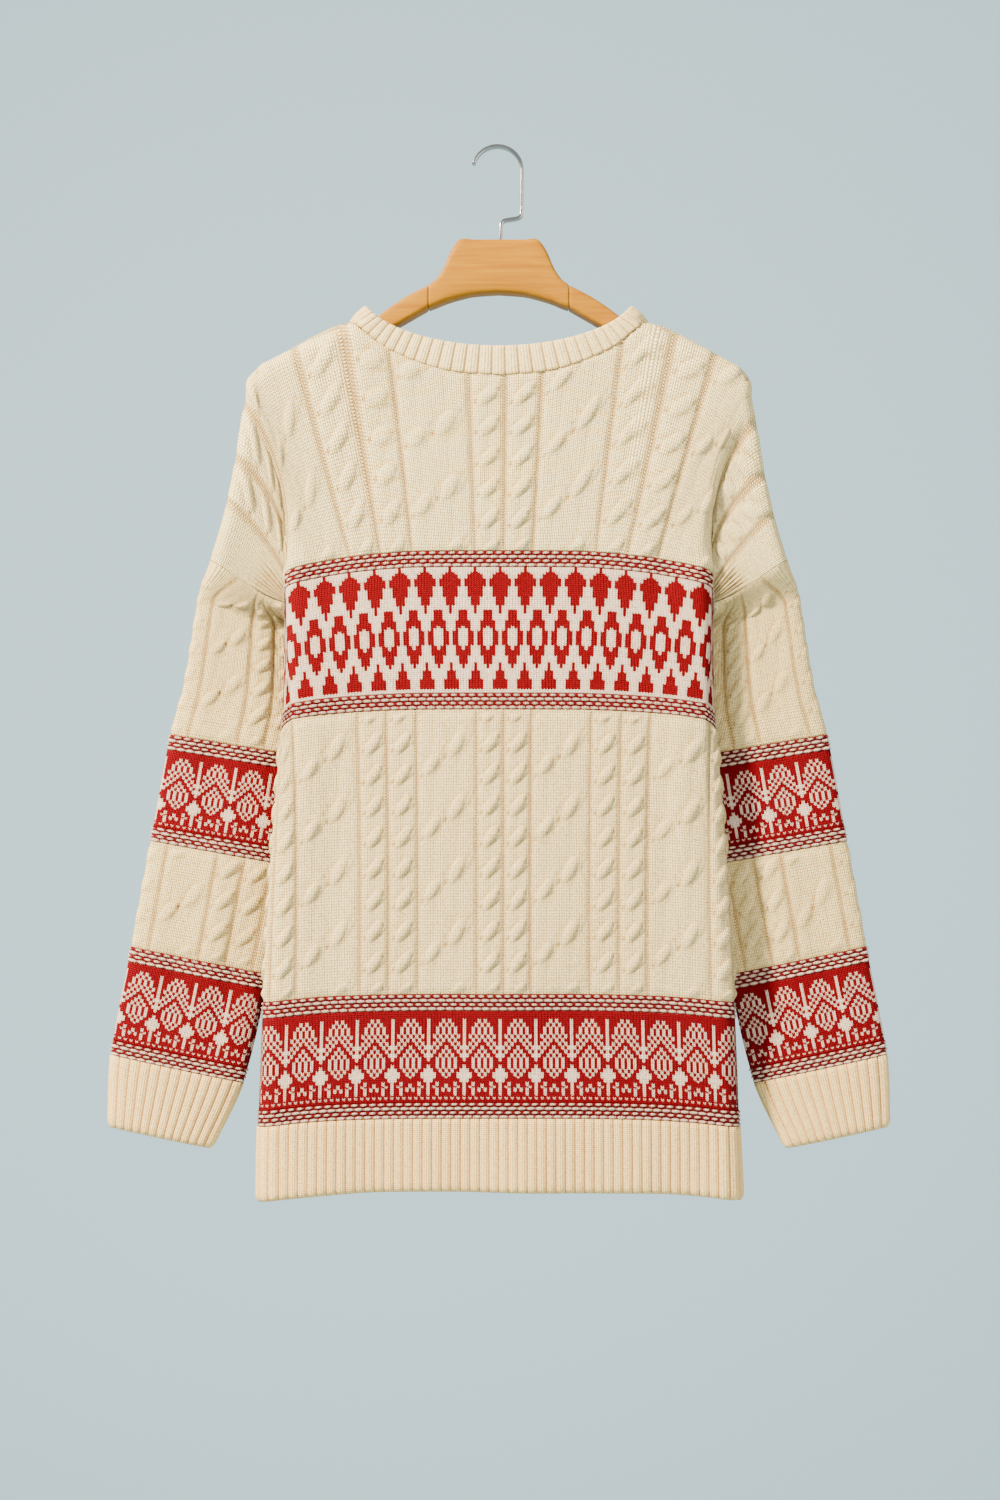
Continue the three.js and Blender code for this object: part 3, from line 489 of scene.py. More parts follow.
def cables(edges, w, course, opening):
    """Height, gutter and hole masks of the cabled cloth at distances w across it, between gutters at the
    edges. Beyond the last gutters the cloth is a plain wide panel."""
    height, hole, groove = np.zeros_like(w), np.zeros_like(w), np.zeros_like(w)
    for left, right in zip(edges[:-1], edges[1:]):
        middle, half = (left + right) / 2, (right - left) / 2
        x = w - middle
        inside = smooth((half - np.abs(x) - 1) / 3.0)
        pillow = 0.5 * np.sqrt(np.clip(1 - (x / half) ** 2, 0, 1))
        if half < 20:
            up = phase(course, CROSSING)
            high, dark = crossing(x, up, CROSSING, 0.4 * half, 0.47 * half)
            height += inside * (pillow + 0.6 * high + 1.2 * leaf(x - 0.5, up - 1, 0.62, 10.5, 4.2))
        else:
            pitch = 2 * CROSSING
            low, low_dark = crossing(x + 0.46 * half, phase(course + 15, pitch), pitch, 6.0, 6.5)
            high, high_dark = crossing(x - 0.36 * half, phase(course, pitch), pitch, 6.5, 7.0)
            leaves = leaf(x + 0.5 * half, phase(course + 16, pitch), 0.6, 10, 4.2)
            leaves += leaf(x - 0.34 * half, phase(course, pitch), 0.5, 12, 4.6)
            height += inside * (pillow + 0.55 * np.maximum(low, high) + 1.25 * leaves)
            dark = np.maximum(low_dark, high_dark)
        hole += inside * dark
    for edge in edges:
        wide = 1.05 + 1.8 * opening
        groove = np.maximum(groove, np.exp(-(np.abs((w - edge) / wide) ** 2.5)))
    return height, groove, np.clip(hole, 0, 1)


def hollows(height, reach):
    """How far each point lies below its surroundings, a box average of the heights over the reach."""
    total = np.pad(height, reach, mode="edge").cumsum(0).cumsum(1)
    total = np.pad(total, ((1, 0), (1, 0)))
    span = 2 * reach + 1
    boxed = total[span:, span:] - total[:-span, span:] - total[span:, :-span] + total[:-span, :-span]
    return boxed / span**2 - height


def cream_paint(base, height, groove, hole, opening, course):
    """The yarn's cream with painted shade laid in: warmer and darker in the gutters, in the holes and
    wherever the cloth lies low, and a little lighter, as a painted highlight, where it stands above its
    surroundings.
    The last channel is 1 where the stitches are closed and falls where they open, in the gutters and most of
    all near the shoulders."""
    swell = 0.8 + 0.2 * np.cos(2 * np.pi * course / CROSSING)
    low = np.clip(hollows(height, 2) * 1.25, -0.2, 0.5)
    # painted shade in the gutters, holes and hollows, and a painted highlight where the cloth stands above
    # its surroundings
    shade_tint = np.clip(groove * 0.42 * swell * (1 - 0.6 * opening) + 0.85 * hole + 0.8 * low, 0, 1)[..., None]
    colour = mix(base, PAINTED_CREAM_SHADE, shade_tint) * (1 - 0.35 * np.minimum(low, 0))[..., None]
    return np.concatenate([colour, 1 - (groove * (0.75 + 0.25 * opening))[..., None]], -1)


# %% [markdown]
# Creases. The cloth is limp, so it hangs in long soft folds: one runs down from each shoulder, others
# slant across the back, and the edges of the body bunch where the sleeves press on them. Each is placed
# as a line on the cloth, with its own width and depth, and a bell across and a fade at both ends.

# %% Soft folds laid on the body
# side, wale and down of both ends, width, height (a trough is below 0)
FOLDS = [
    (-1, 150, 30, 128, 190, 13, -3.0),
    (-1, -150, 30, -130, 180, 14, -2.6),
    (-1, 60, 20, 118, 130, 16, -1.6),
    (-1, -64, 24, -112, 120, 15, -1.5),
    (-1, 40, 60, -20, 150, 26, 1.3),
    (-1, -30, 250, 60, 380, 34, 1.6),
    (-1, 150, 210, 158, 420, 11, 2.2),
    (-1, 136, 260, 142, 520, 12, -2.3),
    (-1, -152, 200, -158, 380, 12, 2.0),
    (-1, -138, 280, -146, 540, 13, -2.2),
    (-1, 96, 400, 60, 560, 24, -1.5),
    (-1, -80, 380, -40, 570, 26, -1.4),
    (-1, -10, 430, 14, 586, 22, 1.5),
    (1, 70, 40, 100, 200, 18, -2.4),
    (1, -66, 44, -104, 210, 17, -2.2),
    (1, 20, 120, -30, 300, 30, 1.6),
    (1, 118, 240, 126, 470, 13, 2.4),
    (1, -120, 220, -124, 450, 12, 2.2),
    (1, 60, 330, 84, 560, 24, -1.8),
    (1, -50, 350, -76, 570, 26, -1.6),
]


def folded(side, w, down):
    """Height of the folds: each is a bell of the distance from its line, faded in and out along it."""
    lift = np.zeros(np.broadcast(w, down).shape)
    for own, w0, d0, w1, d1, wide, high in FOLDS:
        if own != side:
            continue
        long = math.hypot(w1 - w0, d1 - d0)
        along = ((w - w0) * (w1 - w0) + (down - d0) * (d1 - d0)) / long
        beside = ((w - w0) * (d1 - d0) - (down - d0) * (w1 - w0)) / long
        t = np.clip(along / long, -0.2, 1.2)
        fade = np.sin(np.pi * np.clip(t, 0, 1)) ** 0.8
        lift = lift + high * fade * np.exp(-((beside / wide) ** 2))
    return lift


print(len(FOLDS), "folds on the back and front")

# %% [markdown]
# The body is built from the neck down in four zones, as it is knitted: the yoke, the chest band, the
# cabled middle and the lower band. A zone is one piece for the back and one for the front.


# %% The cabled zones of the body
def body_grid(side, top, foot, rows, cols, zigzag=0.0):
    """Wales and downs of a zone's grid. With a zigzag the middle of each stitch hangs lower, as a V does."""
    wide = HALF_WIDTH[side]
    w = np.linspace(-wide, wide, cols + 1)[None, :]
    down = np.linspace(top, foot, rows + 1)[:, None]
    if zigzag:
        inner = np.minimum(np.arange(rows + 1), np.arange(rows, -1, -1)).clip(0, 1)[:, None]
        down = down + inner * zigzag * ROW * (np.arange(cols + 1) % 2)[None, :]
    return np.broadcast_to(w, (rows + 1, cols + 1)), np.broadcast_to(down, (rows + 1, cols + 1))


def body_shell(name, side, w, down, lift, share, paint, inside, gauge=(STITCH, ROW)):
    """A zone of the body as a closed shell: its outside is lifted by the wall, the relief and the folds,
    its inside by the folds alone. gauge is the width and height at which its stitches are drawn."""
    crease = folded(side, w, down)
    outer = body_place(side, w, down, WALL + lift + crease)
    few = (slice(None, None, share[0]), slice(None, None, share[1]))
    inner = body_place(side, w[few], down[few], crease[few])
    stitches = np.stack([w / gauge[0], -down / gauge[1]], -1)
    spare = np.concatenate([stitches, stitches[:, -1:]], 1)
    if paint.shape[0] == w.shape[0]:
        paint = np.concatenate([paint, paint[:, -1:]], 1)
    piece = knitted(name, outer, inner, spare, paint, inside, STOCKINETTE)
    return piece


def cabled_zone(name, side, top, foot, rows, cols, base, opens):
    """A cabled zone between two downs. Its relief fades out at the bands and the side seam. In the yoke,
    which opens, the gutters widen towards the shoulders."""
    w, down = body_grid(side, top, foot, rows, cols)
    course = foot - down
    centre = CENTRE if side < 0 else 0
    if opens:
        reach = 1 - np.clip(down / YOKE, 0, 1)
        opening = reach * (0.35 + 0.65 * smooth((np.abs(w) - 60) / 90))
    else:
        opening = np.zeros_like(w)
    height, groove, hole = cables(GUTTERS[side], w - centre, course, opening)
    if opens and side < 0:  # purl ridges run along the armhole seam
        near = smooth((np.abs(w) - 224) / 5) * smooth((down - 40) / 30)
        ridge = np.cos(2 * np.pi * np.abs(w) / 4.2)
        height = mix(height, 0.7 + 0.7 * ridge, near)
        groove = mix(groove, 0.45 - 0.45 * ridge, near)
        hole = hole * (1 - near)
    ends = smooth(np.minimum(down - top, foot - down) / 7 + (0.3 if opens else 0))
    rim = np.clip((HALF_WIDTH[side] - np.abs(w)) / 4, 0, 1)
    paint = cream_paint(base, ends * height, groove * rim, hole * ends, opening, course)
    lift = ends * rim * (1.3 * height - 0.8 * groove - 1.2 * hole + 0.2)
    return body_shell(name, side, w, down, lift, (10, 10), paint, base, (CABLE_STITCH, CABLE_ROW))


chest_at, middle_at, lower_at = YOKE, YOKE + CHEST, YOKE + CHEST + MIDDLE
yoke_back = cabled_zone("yoke_back", -1, 0, chest_at, 120, 410, CREAM, True)
yoke_front = cabled_zone("yoke_front", 1, 0, chest_at, 70, 180, CREAM, True)
cabled_zone("middle_back", -1, middle_at, lower_at, 170, 400, MIDDLE_CREAM, False)
cabled_zone("middle_front", 1, middle_at, lower_at, 90, 170, MIDDLE_CREAM, False)

# %% [markdown]
# The colour bands. Knitters work two-colour patterns from a chart: one square a stitch, a short repeat
# that runs round the garment. Traditional ones mirror about a stitch, so half a repeat is enough. Each row
# of these charts is a line of letters from one mirror stitch to the next, r for red, with how many rows
# it lasts. A zigzag grid gives every stitch its V shape, so colour edges come out finely toothed.

# %% Charts of the two bands
DROPS_AND_DIAMONDS = [
    (2, "r...."), (1, "rr..."), (2, "rrr.."), (4, "rrrr."), (5, "rrr.."), (4, "rr..."), (2, "r...."),
    (2, "r..rr"), (3, "...rr"), (3, "..rrr"), (1, "..rr."), (1, "..r.."), (7, ".rr.."), (2, "..rr."),
    (3, "..rrr"), (3, "...rr"), (1, "r..rr"), (2, "r...r"), (1, "r...."), (4, "rr..."), (5, "rrr.."),
    (2, "....."),
]
FANS_AND_FLOWERS = [
    (4, "rrrrrrr"), (2, ".rrrr.r"), (2, ".rrr.r."), (2, ".rr.r.r"), (2, ".rr.r.r"), (2, ".r.r.r."),
    (2, ".rr.r.r"), (2, ".r.r.rr"), (2, "..r.rr."), (2, ".r.rr.r"), (2, "..rr.r."), (2, ".rr.r.r"),
    (2, "rrr.r.r"), (2, ".rr.r.r"), (2, "..rr.r."), (2, "...rr.r"), (1, "...rrr."), (2, "..rrrrr"),
    (1, ".rr.rrr"), (1, ".rr.rr."), (1, ".r.rrr."), (2, ".rr.r.r"), (2, ".rr.rrr"), (1, "rrrrrrr"),
    (1, ".r.r.r."), (2, "rrrrrrr"),
]


def charted(chart, stitches, rows):
    """Whether each stitch of a band is red: mirror the half repeat about its ends and lay it side by side
    from the stitch numbers, which count from the middle of the back."""
    lines = np.array([[c == "r" for c in line] for count, line in chart for _ in range(count)])
    half = lines.shape[1] - 1
    place = np.abs(np.mod(np.asarray(stitches) + half, 2 * half) - half)
    return lines[np.asarray(rows)][:, place]


def two_coloured(reds, red):
    """Corner colours of the stitches. Red yarn peeps out between white stitches: the more of the four
    neighbours are red, the pinker a white stitch looks."""
    near = np.roll(reds, 2, 1) * 1.0 + np.roll(reds, -2, 1)
    near += np.concatenate([reds[:1], reds[:-1]]) * 1.0 + np.concatenate([reds[1:], reds[-1:]])
    pink = mix(WHITE, red, (0.1 * near)[..., None])
    colour = np.where(reds[..., None], red, pink)
    return np.concatenate([colour, np.ones(reds.shape + (1,))], -1)


print("rows:", sum(n for n, _ in DROPS_AND_DIAMONDS), "and", sum(n for n, _ in FANS_AND_FLOWERS))

# %% [markdown]
# Welts border each band. They are rows of purl ridges, worked in both yarns, which pull up into small
# long beads of white on red, each row set half a bead along from the one above, like bricks.


# %% Welts and bands of the body
def beads(across, down, height, pitch=7.5):
    """Height, whiteness and shadow of four rows of beads. A bead is an oval, wide ones in every other row
    and small ones set half a pitch along between them; whiteness falls off at the oval's rim, and the
    shadow is deepest on the line between two rows."""
    line = np.clip(down / height * 4, 0, 4 - 1e-6)
    row = np.floor(line)
    big = np.mod(row, 2)
    wander = 0.35 * np.sin(across / 17 + 2 * row) + 0.2 * np.sin(across / 5.3 + row)
    x = (np.mod(across / pitch + 0.5 * big + 0.5, 1) - 0.5) * pitch + wander
    y = (line - row - 0.5) * height / 4
    far = np.sqrt((x / mix(2.5, 3.5, big)) ** 2 + (y / mix(0.9, 1.2, big)) ** 2)
    white = 1 - smooth((far - 0.65) / 0.45)
    thread = np.cos(np.pi * (line - row - 0.5)) ** 0.6
    return np.maximum(0.55 * thread, np.sqrt(np.clip(1 - far**2, 0, 1))), white, 1 - thread


def banded(red, height, white, shadow):
    """Bead colours: red yarn with painted shade, darker in the lines between rows and where a bead stands
    low, with white over it, a little darker too where low.
    """
    shade = (1 - 0.5 * shadow**1.5) * (0.85 + 0.15 * height)
    colour = mix(red * shade[..., None], WHITE * mix(0.86, 1, height)[..., None], white[..., None])
    return np.concatenate([colour, np.ones_like(height)[..., None]], -1)


def welt_zone(name, side, top, cols, red=RED):
    """A welt of the body, its beads flattened at the side seam."""
    rows = 24
    w, down = body_grid(side, top, top + WELT, rows, cols)
    height, white, shadow = beads(w, down - top, WELT)
    rim = np.clip((HALF_WIDTH[side] - np.abs(w)) / 4, 0, 1)
    return body_shell(name, side, w, down, 1.7 * height * rim, (rows, 10), banded(red, height, white, shadow),
                      MIDDLE_CREAM)


def jacquard_zone(name, side, top, foot, chart, red):
    """A band with two quads for every stitch, one for each leg."""
    rows = sum(count for count, _ in chart)
    stitches = 4 * round(HALF_WIDTH[side] / STITCH / 2)
    w, down = body_grid(side, top, foot, rows, stitches * 2, 0.62)
    count = np.arange(stitches * 2) // 2 - stitches // 2
    reds = charted(chart, count, np.arange(rows))
    return body_shell(name, side, w, down, 0.25 + 0 * w, (12, 8), two_coloured(reds, red), MIDDLE_CREAM)


for side, word, cols in ((-1, "back", 460), (1, "front", 320)):
    welt_zone(f"chest_welt_top_{word}", side, chest_at, cols)
    jacquard_zone(f"chest_band_{word}", side, chest_at + WELT, middle_at - WELT, DROPS_AND_DIAMONDS, RED)
    welt_zone(f"chest_welt_foot_{word}", side, middle_at - WELT, cols)
    welt_zone(f"lower_welt_top_{word}", side, lower_at, cols, red=DEEP_RED)
    jacquard_zone(f"lower_band_{word}", side, lower_at + WELT, lower_at + LOWER - WELT, FANS_AND_FLOWERS,
                  DEEP_RED)
    welt_zone(f"lower_welt_foot_{word}", side, lower_at + LOWER - WELT, cols, red=DEEP_RED)

# %% [markdown]
# Ribbing. One knit column stands forward and the next sinks back, so a rib is a wide rounded ridge beside
# a narrow groove. It grips and springs back, so makers use it at the neck, the hem and the wrists. A band is
# a ring: distance round it counts ribs, and each groove is painted darker as shade in a narrow bell at each
# rib's edge.


# %% Ribbed rings
def ribs(part, count, pitch):
    """Height and groove mask of a number of ribs round a ring: a rib's section is half an oval, and the
    groove between two, where painted shade goes, is a bell twice RIB_REACH wide."""
    off = np.abs(np.mod(part * count + 0.5, 1) - 0.5) * 2
    groove = np.exp(-((off * pitch / 2 / RIB_REACH) ** 2))
    return np.sqrt(np.clip(1 - (1 - off) ** 2.6, 0, 1)), groove


def ribbed_ring(name, place, count, pitch, rows, tall, share, yarn, fold=0.0, step=8, seam=0.0):
    """A closed ring of ribbing. place(part of a turn, t down the band, lift) gives its points. fold rounds
    the free edge by drawing its last rows in. seam tints the first row, at the band's foot, towards the
    grooves' colour. yarn holds the ribs' cream and the painted shade of the grooves."""
    part = np.linspace(0, 1, count * step, endpoint=False)[None, :]
    t = np.linspace(0, 1, rows + 1)[:, None]
    part, t = np.broadcast_arrays(part, t)
    height, groove = ribs(part, count, pitch)
    rounding = fold * (1 - np.sqrt(np.clip(1 - np.clip((t - 0.9) / 0.1, 0, 1) ** 2, 0, 1)))
    outer = place(part, t, WALL + 1.6 * height - rounding)
    few = (slice(None, None, share[0]), slice(None, None, share[1]))
    inner = place(part[few], t[few], 0.0 * part[few])
    closed = np.concatenate([part, 1 + 0 * part[:, :1]], 1)
    stitches = np.stack([closed * count * 2, -np.broadcast_to(t[:, :1], closed.shape) * tall / ROW], -1)
    # painted shade in the grooves, and a tint on the first row
    shade_tint = np.clip(0.62 * groove + seam * np.exp(-((t * tall / 1.6) ** 2)), 0, 1)
    colour = mix(*yarn, shade_tint[..., None])
    paint = np.concatenate([colour, np.ones_like(part)[..., None]], -1)
    paint = np.concatenate([paint, paint[:, :1]], 1)
    piece = knitted(name, outer, inner, stitches, paint, yarn[0], RIBBING, ring=True)
    return piece


# %% [markdown]
# The neckband stands on the neck seam. Its foot follows the neck edge of the panels. Its top edge is a
# flatter loop that dips at the back, and deeper at the front, and the band leans in between the two.

# %% Neckband
NECK_TOP = {"x": 103, "z": -130, "back": 32, "front": 81}


def neck_top(turn):
    """The free edge: x goes as the cosine of the turn, the height as a power of its sine, and the loop
    stands out of the plane where it has fallen off the shoulder's line."""
    back = np.mod(turn, 2 * math.pi) <= math.pi
    across = np.abs(np.sin(turn))
    dip = np.where(back, NECK_TOP["back"] * across**1.3, NECK_TOP["front"] * across**1.5)
    x = NECK_TOP["x"] * np.cos(turn)
    fallen = dip + (NECK_TOP["x"] - np.abs(x)) * SHOULDER["slope"]
    return np.stack([x, np.where(back, -1, 1) * DEPTH * bend(fallen), NECK_TOP["z"] - dip], -1)


def neck_edge(turn, side):
    """The neck edge of a panel, its outward normal, and the way up out of the cloth."""
    w = NECK_WALE[side] * np.cos(turn) * 0.999
    zero = np.zeros_like(w)
    base = body_inside(side, w, zero)
    base[..., 1] = side * np.maximum(side * base[..., 1], SEAM / 2)
    across = body_inside(side, w + 0.5, zero) - body_inside(side, w - 0.5, zero)
    normal = -side * unit(np.cross(body_inside(side, w, zero + 0.5) - body_inside(side, w, zero), across))
    up = unit(np.cross(across, normal))
    toward = np.sign(((neck_top(turn) - base) * up).sum(-1, keepdims=True))
    return base, normal, up * toward


def neck_place(part, t, lift):
    """Between the neck edge and the top loop in a straight line, lifted first along the panel's normal and
    higher up square to the loop."""
    turn = part * 2 * math.pi
    sides = [neck_edge(turn, side) for side in (-1, 1)]
    back = (turn <= math.pi)[..., None]
    base, normal, up = (np.where(back, a, b) for a, b in zip(*sides))
    start = base + up * (0.2 + 0.9 * np.abs(np.cos(turn)) ** 6)[..., None]
    top = neck_top(turn)
    square = unit(np.cross(neck_top(turn + 0.02) - neck_top(turn - 0.02), unit(top - base)))
    square = square * np.sign((square * normal).sum(-1, keepdims=True))
    t = t[..., None]
    out = unit(mix(normal, square, smooth(t * 1.6)))
    crown = 0.9 * np.sin(np.pi * np.clip(t, 0, 1)) ** 0.7
    return mix(start, top, t) + out * (np.asarray(lift)[..., None] + crown)


neckband = ribbed_ring(
    "neckband", neck_place, 66, 7.6, 18, 26, (6, 11), NECK_CREAM_AND_GROOVE_SHADE, fold=2.4, step=11, seam=0.5)
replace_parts(neckband, "neckband")

# %% [markdown]
# The hem rib goes on where the lower band ends and follows the same flattened tube, so its distance round
# the body is the only coordinate that it needs besides its height.

# %% Hem rib
HEM_TOP = CHEST + MIDDLE + LOWER


def hem_place(part, t, lift):
    """Place round the flattened tube, lifted square to it; the free edge waves a little."""
    drop = HEM_TOP + t * HEM
    edge = BODY["edge"](drop)
    u = np.abs(part - 0.5) * 2 * (2 * (edge - WALL - DEPTH) + math.pi * DEPTH)
    x, y = tube(u, edge)
    near_x, near_y = tube(u + 0.5, edge)
    along = unit(np.stack([near_x - x, near_y - y], -1))
    hand = np.where(part < 0.5, -1, 1)
    wave = t * (1.6 * np.sin(x * hand / 31 + 1.0) + 1.1 * np.sin(x * hand / 13))
    lift = lift + wave
    z = CHEST_TOP - drop + foot_sag(x) - 0.7 * t * np.sin(x * hand / 37)
    return np.stack([hand * (x + along[..., 1] * lift), y - along[..., 0] * lift, z], -1)


hem_rib = ribbed_ring("hem_rib", hem_place, 104, 7.2, 15, HEM, (5, 8), RIB_CREAM_AND_GROOVE_SHADE, fold=2.2)
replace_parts(hem_rib, "hem_rib")

# %% [markdown]
# The sleeves hang from dropped shoulders, so they fall almost straight down behind the body. A section is
# a flat oval between an outer and an inner end. The sleeve's head follows the armhole's edge and eases
# into the first full section with a curve that leaves and arrives in the right directions.

# %% The sleeve's surface
SLEEVE = columns(("out_x", "out_z", "in_x", "in_z", "out_y", "in_y", "half"), [
    (0, 238.5, -363, 155, -394, 11, 35, 8),
    (85, 250.5, -434, 152, -451, 15, 31, 8),
    (121, 260.5, -470, 157, -487, 16, 30, 8),
    (206, 276, -555, 171, -574, 17, 29, 8),
    (291, 291, -639, 187, -661, 17, 27, 8),
    (375, 306, -722, 206, -744, 16, 22, 8),
    (435, 308, -781.5, 231, -798.5, 14, 18, 7),
])
SLEEVE_END, CUFF_END, HEAD, BULGE = 378, 435, 62, 18


def sleeve_section(turn, at):
    """A flat oval: places between its ends go as a rounded cosine of the turn, its thickness as a rounded
    sine. A quarter turn is the side that faces -Y."""
    def rounded(c):
        return np.sign(c) * np.abs(c) ** 0.8

    t = (1 - rounded(np.cos(turn))) / 2
    x = mix(SLEEVE["out_x"](at), SLEEVE["in_x"](at), t)
    z = mix(SLEEVE["out_z"](at), SLEEVE["in_z"](at), t)
    y = mix(SLEEVE["out_y"](at), SLEEVE["in_y"](at), t) - SLEEVE["half"](at) * rounded(np.sin(turn))
    return np.stack(np.broadcast_arrays(x, y, z), -1)


def armhole_rim(turn):
    """The armhole's edge of the panels, its outward way, and how far it has turned back at the underarm."""
    s = np.where(turn <= math.pi, turn / math.pi, 2 - turn / math.pi)
    turned = smooth((s - 0.35) / 0.5)[..., None]
    found = []
    for side in (-1, 1):
        wide, down = HALF_WIDTH[side] + 0 * s, s * YOKE
        base = body_inside(side, wide, down)
        base[..., 1] = np.where(s < 0.02, side * np.maximum(side * base[..., 1], SEAM / 2), base[..., 1])
        across = body_inside(side, wide - 0.1, down) - body_inside(side, wide - 1.1, down)
        along = (body_inside(side, wide - 0.6, np.minimum(YOKE, down + 0.5))
                 - body_inside(side, wide - 0.6, np.maximum(0, down - 0.5)))
        normal = -side * unit(np.cross(along, across))
        found.append((base, normal, unit(base - body_inside(side, wide - 3, down))))
    back = (turn <= math.pi)[..., None]
    base, normal, out_of = (np.where(back, a, b) for a, b in zip(*found))
    ring = np.stack([np.cos(turn), -np.sin(turn), 0 * turn], -1)
    own = unit(mix(normal, ring, turned))
    away = unit(mix(out_of, np.array([1.0, 0, 0]), turned))
    return base + normal * WALL + away * (0.1 + 1.9 * turned), own, turned


def sleeve_inside(turn, at):
    """The oval section below the head; in the head a cubic from the armhole's rim to the first section."""
    turn = np.mod(turn, 2 * math.pi)
    rim, own, turned = armhole_rim(turn)
    start = rim - own * WALL
    end = sleeve_section(turn, 0 * at)
    leaving = end - start
    reach = np.linalg.norm(leaving, axis=-1, keepdims=True)
    arriving = unit(sleeve_section(turn, 10 + 0 * at) - end) * reach
    leaving[..., 0] = mix(leaving[..., 0], BULGE, turned[..., 0])
    t = np.clip(1 + at / HEAD, 0, 1)[..., None]
    head = start * (2 * t**3 - 3 * t**2 + 1) + leaving * (t**3 - 2 * t**2 + t)
    head = head + end * (3 * t**2 - 2 * t**3) + arriving * (t**3 - t**2)
    return np.where((at >= 0)[..., None], sleeve_section(turn, at), head)


def sleeve_place(turn, at, lift):
    """A point lifted along the sleeve's normal, which at the armhole is the rim's own."""
    across = sleeve_inside(turn + 0.03, at) - sleeve_inside(turn - 0.03, at)
    along = sleeve_inside(turn, np.minimum(at + 1, CUFF_END)) - sleeve_inside(turn, np.maximum(at - 1, -HEAD))
    normal = unit(np.cross(across, along))
    own = armhole_rim(np.mod(turn, 2 * math.pi))[1]
    normal = unit(mix(own, normal, smooth((at + HEAD) / 6)[..., None]))
    return sleeve_inside(turn, at) + normal * np.asarray(lift)[..., None]


# equal steps of cloth round the sleeve's middle, as turns
fine_turn = np.linspace(0, 2 * math.pi, 1201)
ring_line = sleeve_section(fine_turn, 200 + 0 * fine_turn)
ring_length = np.concatenate([[0], np.cumsum(np.linalg.norm(np.diff(ring_line, axis=0), axis=1))])
GIRTH = float(ring_length[-1])


def turn_at(part):
    """The turn at which this part of the way round the sleeve's cloth lies."""
    return np.interp(part, ring_length / GIRTH, fine_turn)


print(f"sleeve girth {GIRTH:.0f} mm, {GIRTH / STITCH:.0f} stitches")

# %% [markdown]
# A sleeve repeats the body's zones: cables, band, cables, band, ribbed cuff. The right one is worked out,
# and the left one is its mirror image, except that its cables lean the same way as everywhere else.

# %% Sleeve zones
SLEEVE_GUTTERS = [-98, -76, -54, -14, 14, 54, 76, 98]
# part round (0 outer edge, 0.25 the back's side), place down, at both ends, width mm, height mm
SLEEVE_FOLDS = [
    (0.36, -40, 0.40, 150, 9, -3.0),
    (0.10, -30, 0.20, 190, 12, -2.0),
    (0.22, 100, 0.30, 330, 13, 2.0),
    (0.14, 210, 0.18, 378, 10, -1.8),
    (0.40, 230, 0.34, 380, 10, -2.0),
    (0.62, -20, 0.68, 240, 12, -2.6),
    (0.80, 60, 0.76, 330, 13, -2.2),
]


def sleeve_folded(part, at, hand):
    """Height of a sleeve's folds: bells across a line down the sleeve, deeper on the right one."""
    lift = 0 * part
    for p0, a0, p1, a1, wide, high in SLEEVE_FOLDS:
        t = (at - a0) / (a1 - a0)
        line = mix(p0, p1, np.clip(t, 0, 1))
        beside = (part - line) * GIRTH
        fade = np.sin(np.pi * np.clip(t, 0, 1)) ** 0.8
        lift = lift + high * (1.1 if hand > 0 else 0.85) * fade * np.exp(-((beside / wide) ** 2))
    return lift


def sleeve_shell(name, hand, part, at, lift, share, paint, inside, gauge=(STITCH, ROW)):
    """A zone of a sleeve as a closed ring, made as the body's zones are and mirrored for the left."""
    crease = sleeve_folded(part, at, hand)
    few = (slice(None, None, share[0]), slice(None, None, share[1]))
    outer = sleeve_place(turn_at(part), at, WALL + lift + crease) * [hand, 1, 1]
    inner = sleeve_place(turn_at(part[few]), at[few], crease[few]) * [hand, 1, 1]
    closed = np.concatenate([part, 1 + 0 * part[:, :1]], 1)
    rows_down = np.concatenate([at, at[:, :1]], 1)
    stitches = np.stack([closed * GIRTH / gauge[0], -rows_down / gauge[1]], -1)
    if paint.shape[0] == part.shape[0]:
        paint = np.concatenate([paint, paint[:, :1]], 1)
    piece = knitted(name, outer, inner, stitches, paint, inside, STOCKINETTE, ring=True)
    return piece


def sleeve_grid(top, foot, rows, cols, zigzag=0.0):
    """Parts of the way round and places down of a zone's grid, with the body's zigzag."""
    part = np.linspace(0, 1, cols, endpoint=False)[None, :]
    at = np.linspace(top, foot, rows + 1)[:, None]
    if zigzag:
        inner = np.minimum(np.arange(rows + 1), np.arange(rows, -1, -1)).clip(0, 1)[:, None]
        at = at + inner * zigzag * (foot - top) / rows * (np.arange(cols) % 2)[None, :]
    return np.broadcast_to(part, (rows + 1, cols)), np.broadcast_to(at, (rows + 1, cols))


def sleeve_cables(name, hand, top, foot, rows, cols, base):
    """A cabled zone of a sleeve. Its relief fades in below the armhole and is lower at the flat oval's two
    ends, where the cloth turns away."""
    part, at = sleeve_grid(top, foot, rows, cols)
    around = np.where(part > 0.5, part - 1, part) * GIRTH
    opening = 0.5 * np.clip(-at / HEAD, 0, 1) if top < 0 else 0 * part
    height, groove, hole = cables(SLEEVE_GUTTERS, -hand * around, foot - at, opening)
    ends = smooth(np.minimum((at - top) / (45 if top < 0 else 7), (foot - at) / 7))
    paint = cream_paint(base, ends * height, groove, hole * ends, opening, foot - at)
    side_on = 0.3 + 0.7 * smooth(np.abs(around) / 30) * smooth((GIRTH / 2 - np.abs(around)) / 30)
    lift = ends * side_on * (height - 0.7 * groove - 0.8 * hole + 0.4)
    return sleeve_shell(name, hand, part, at, lift, (10, 10), paint, base, gauge=(CABLE_STITCH, CABLE_ROW))


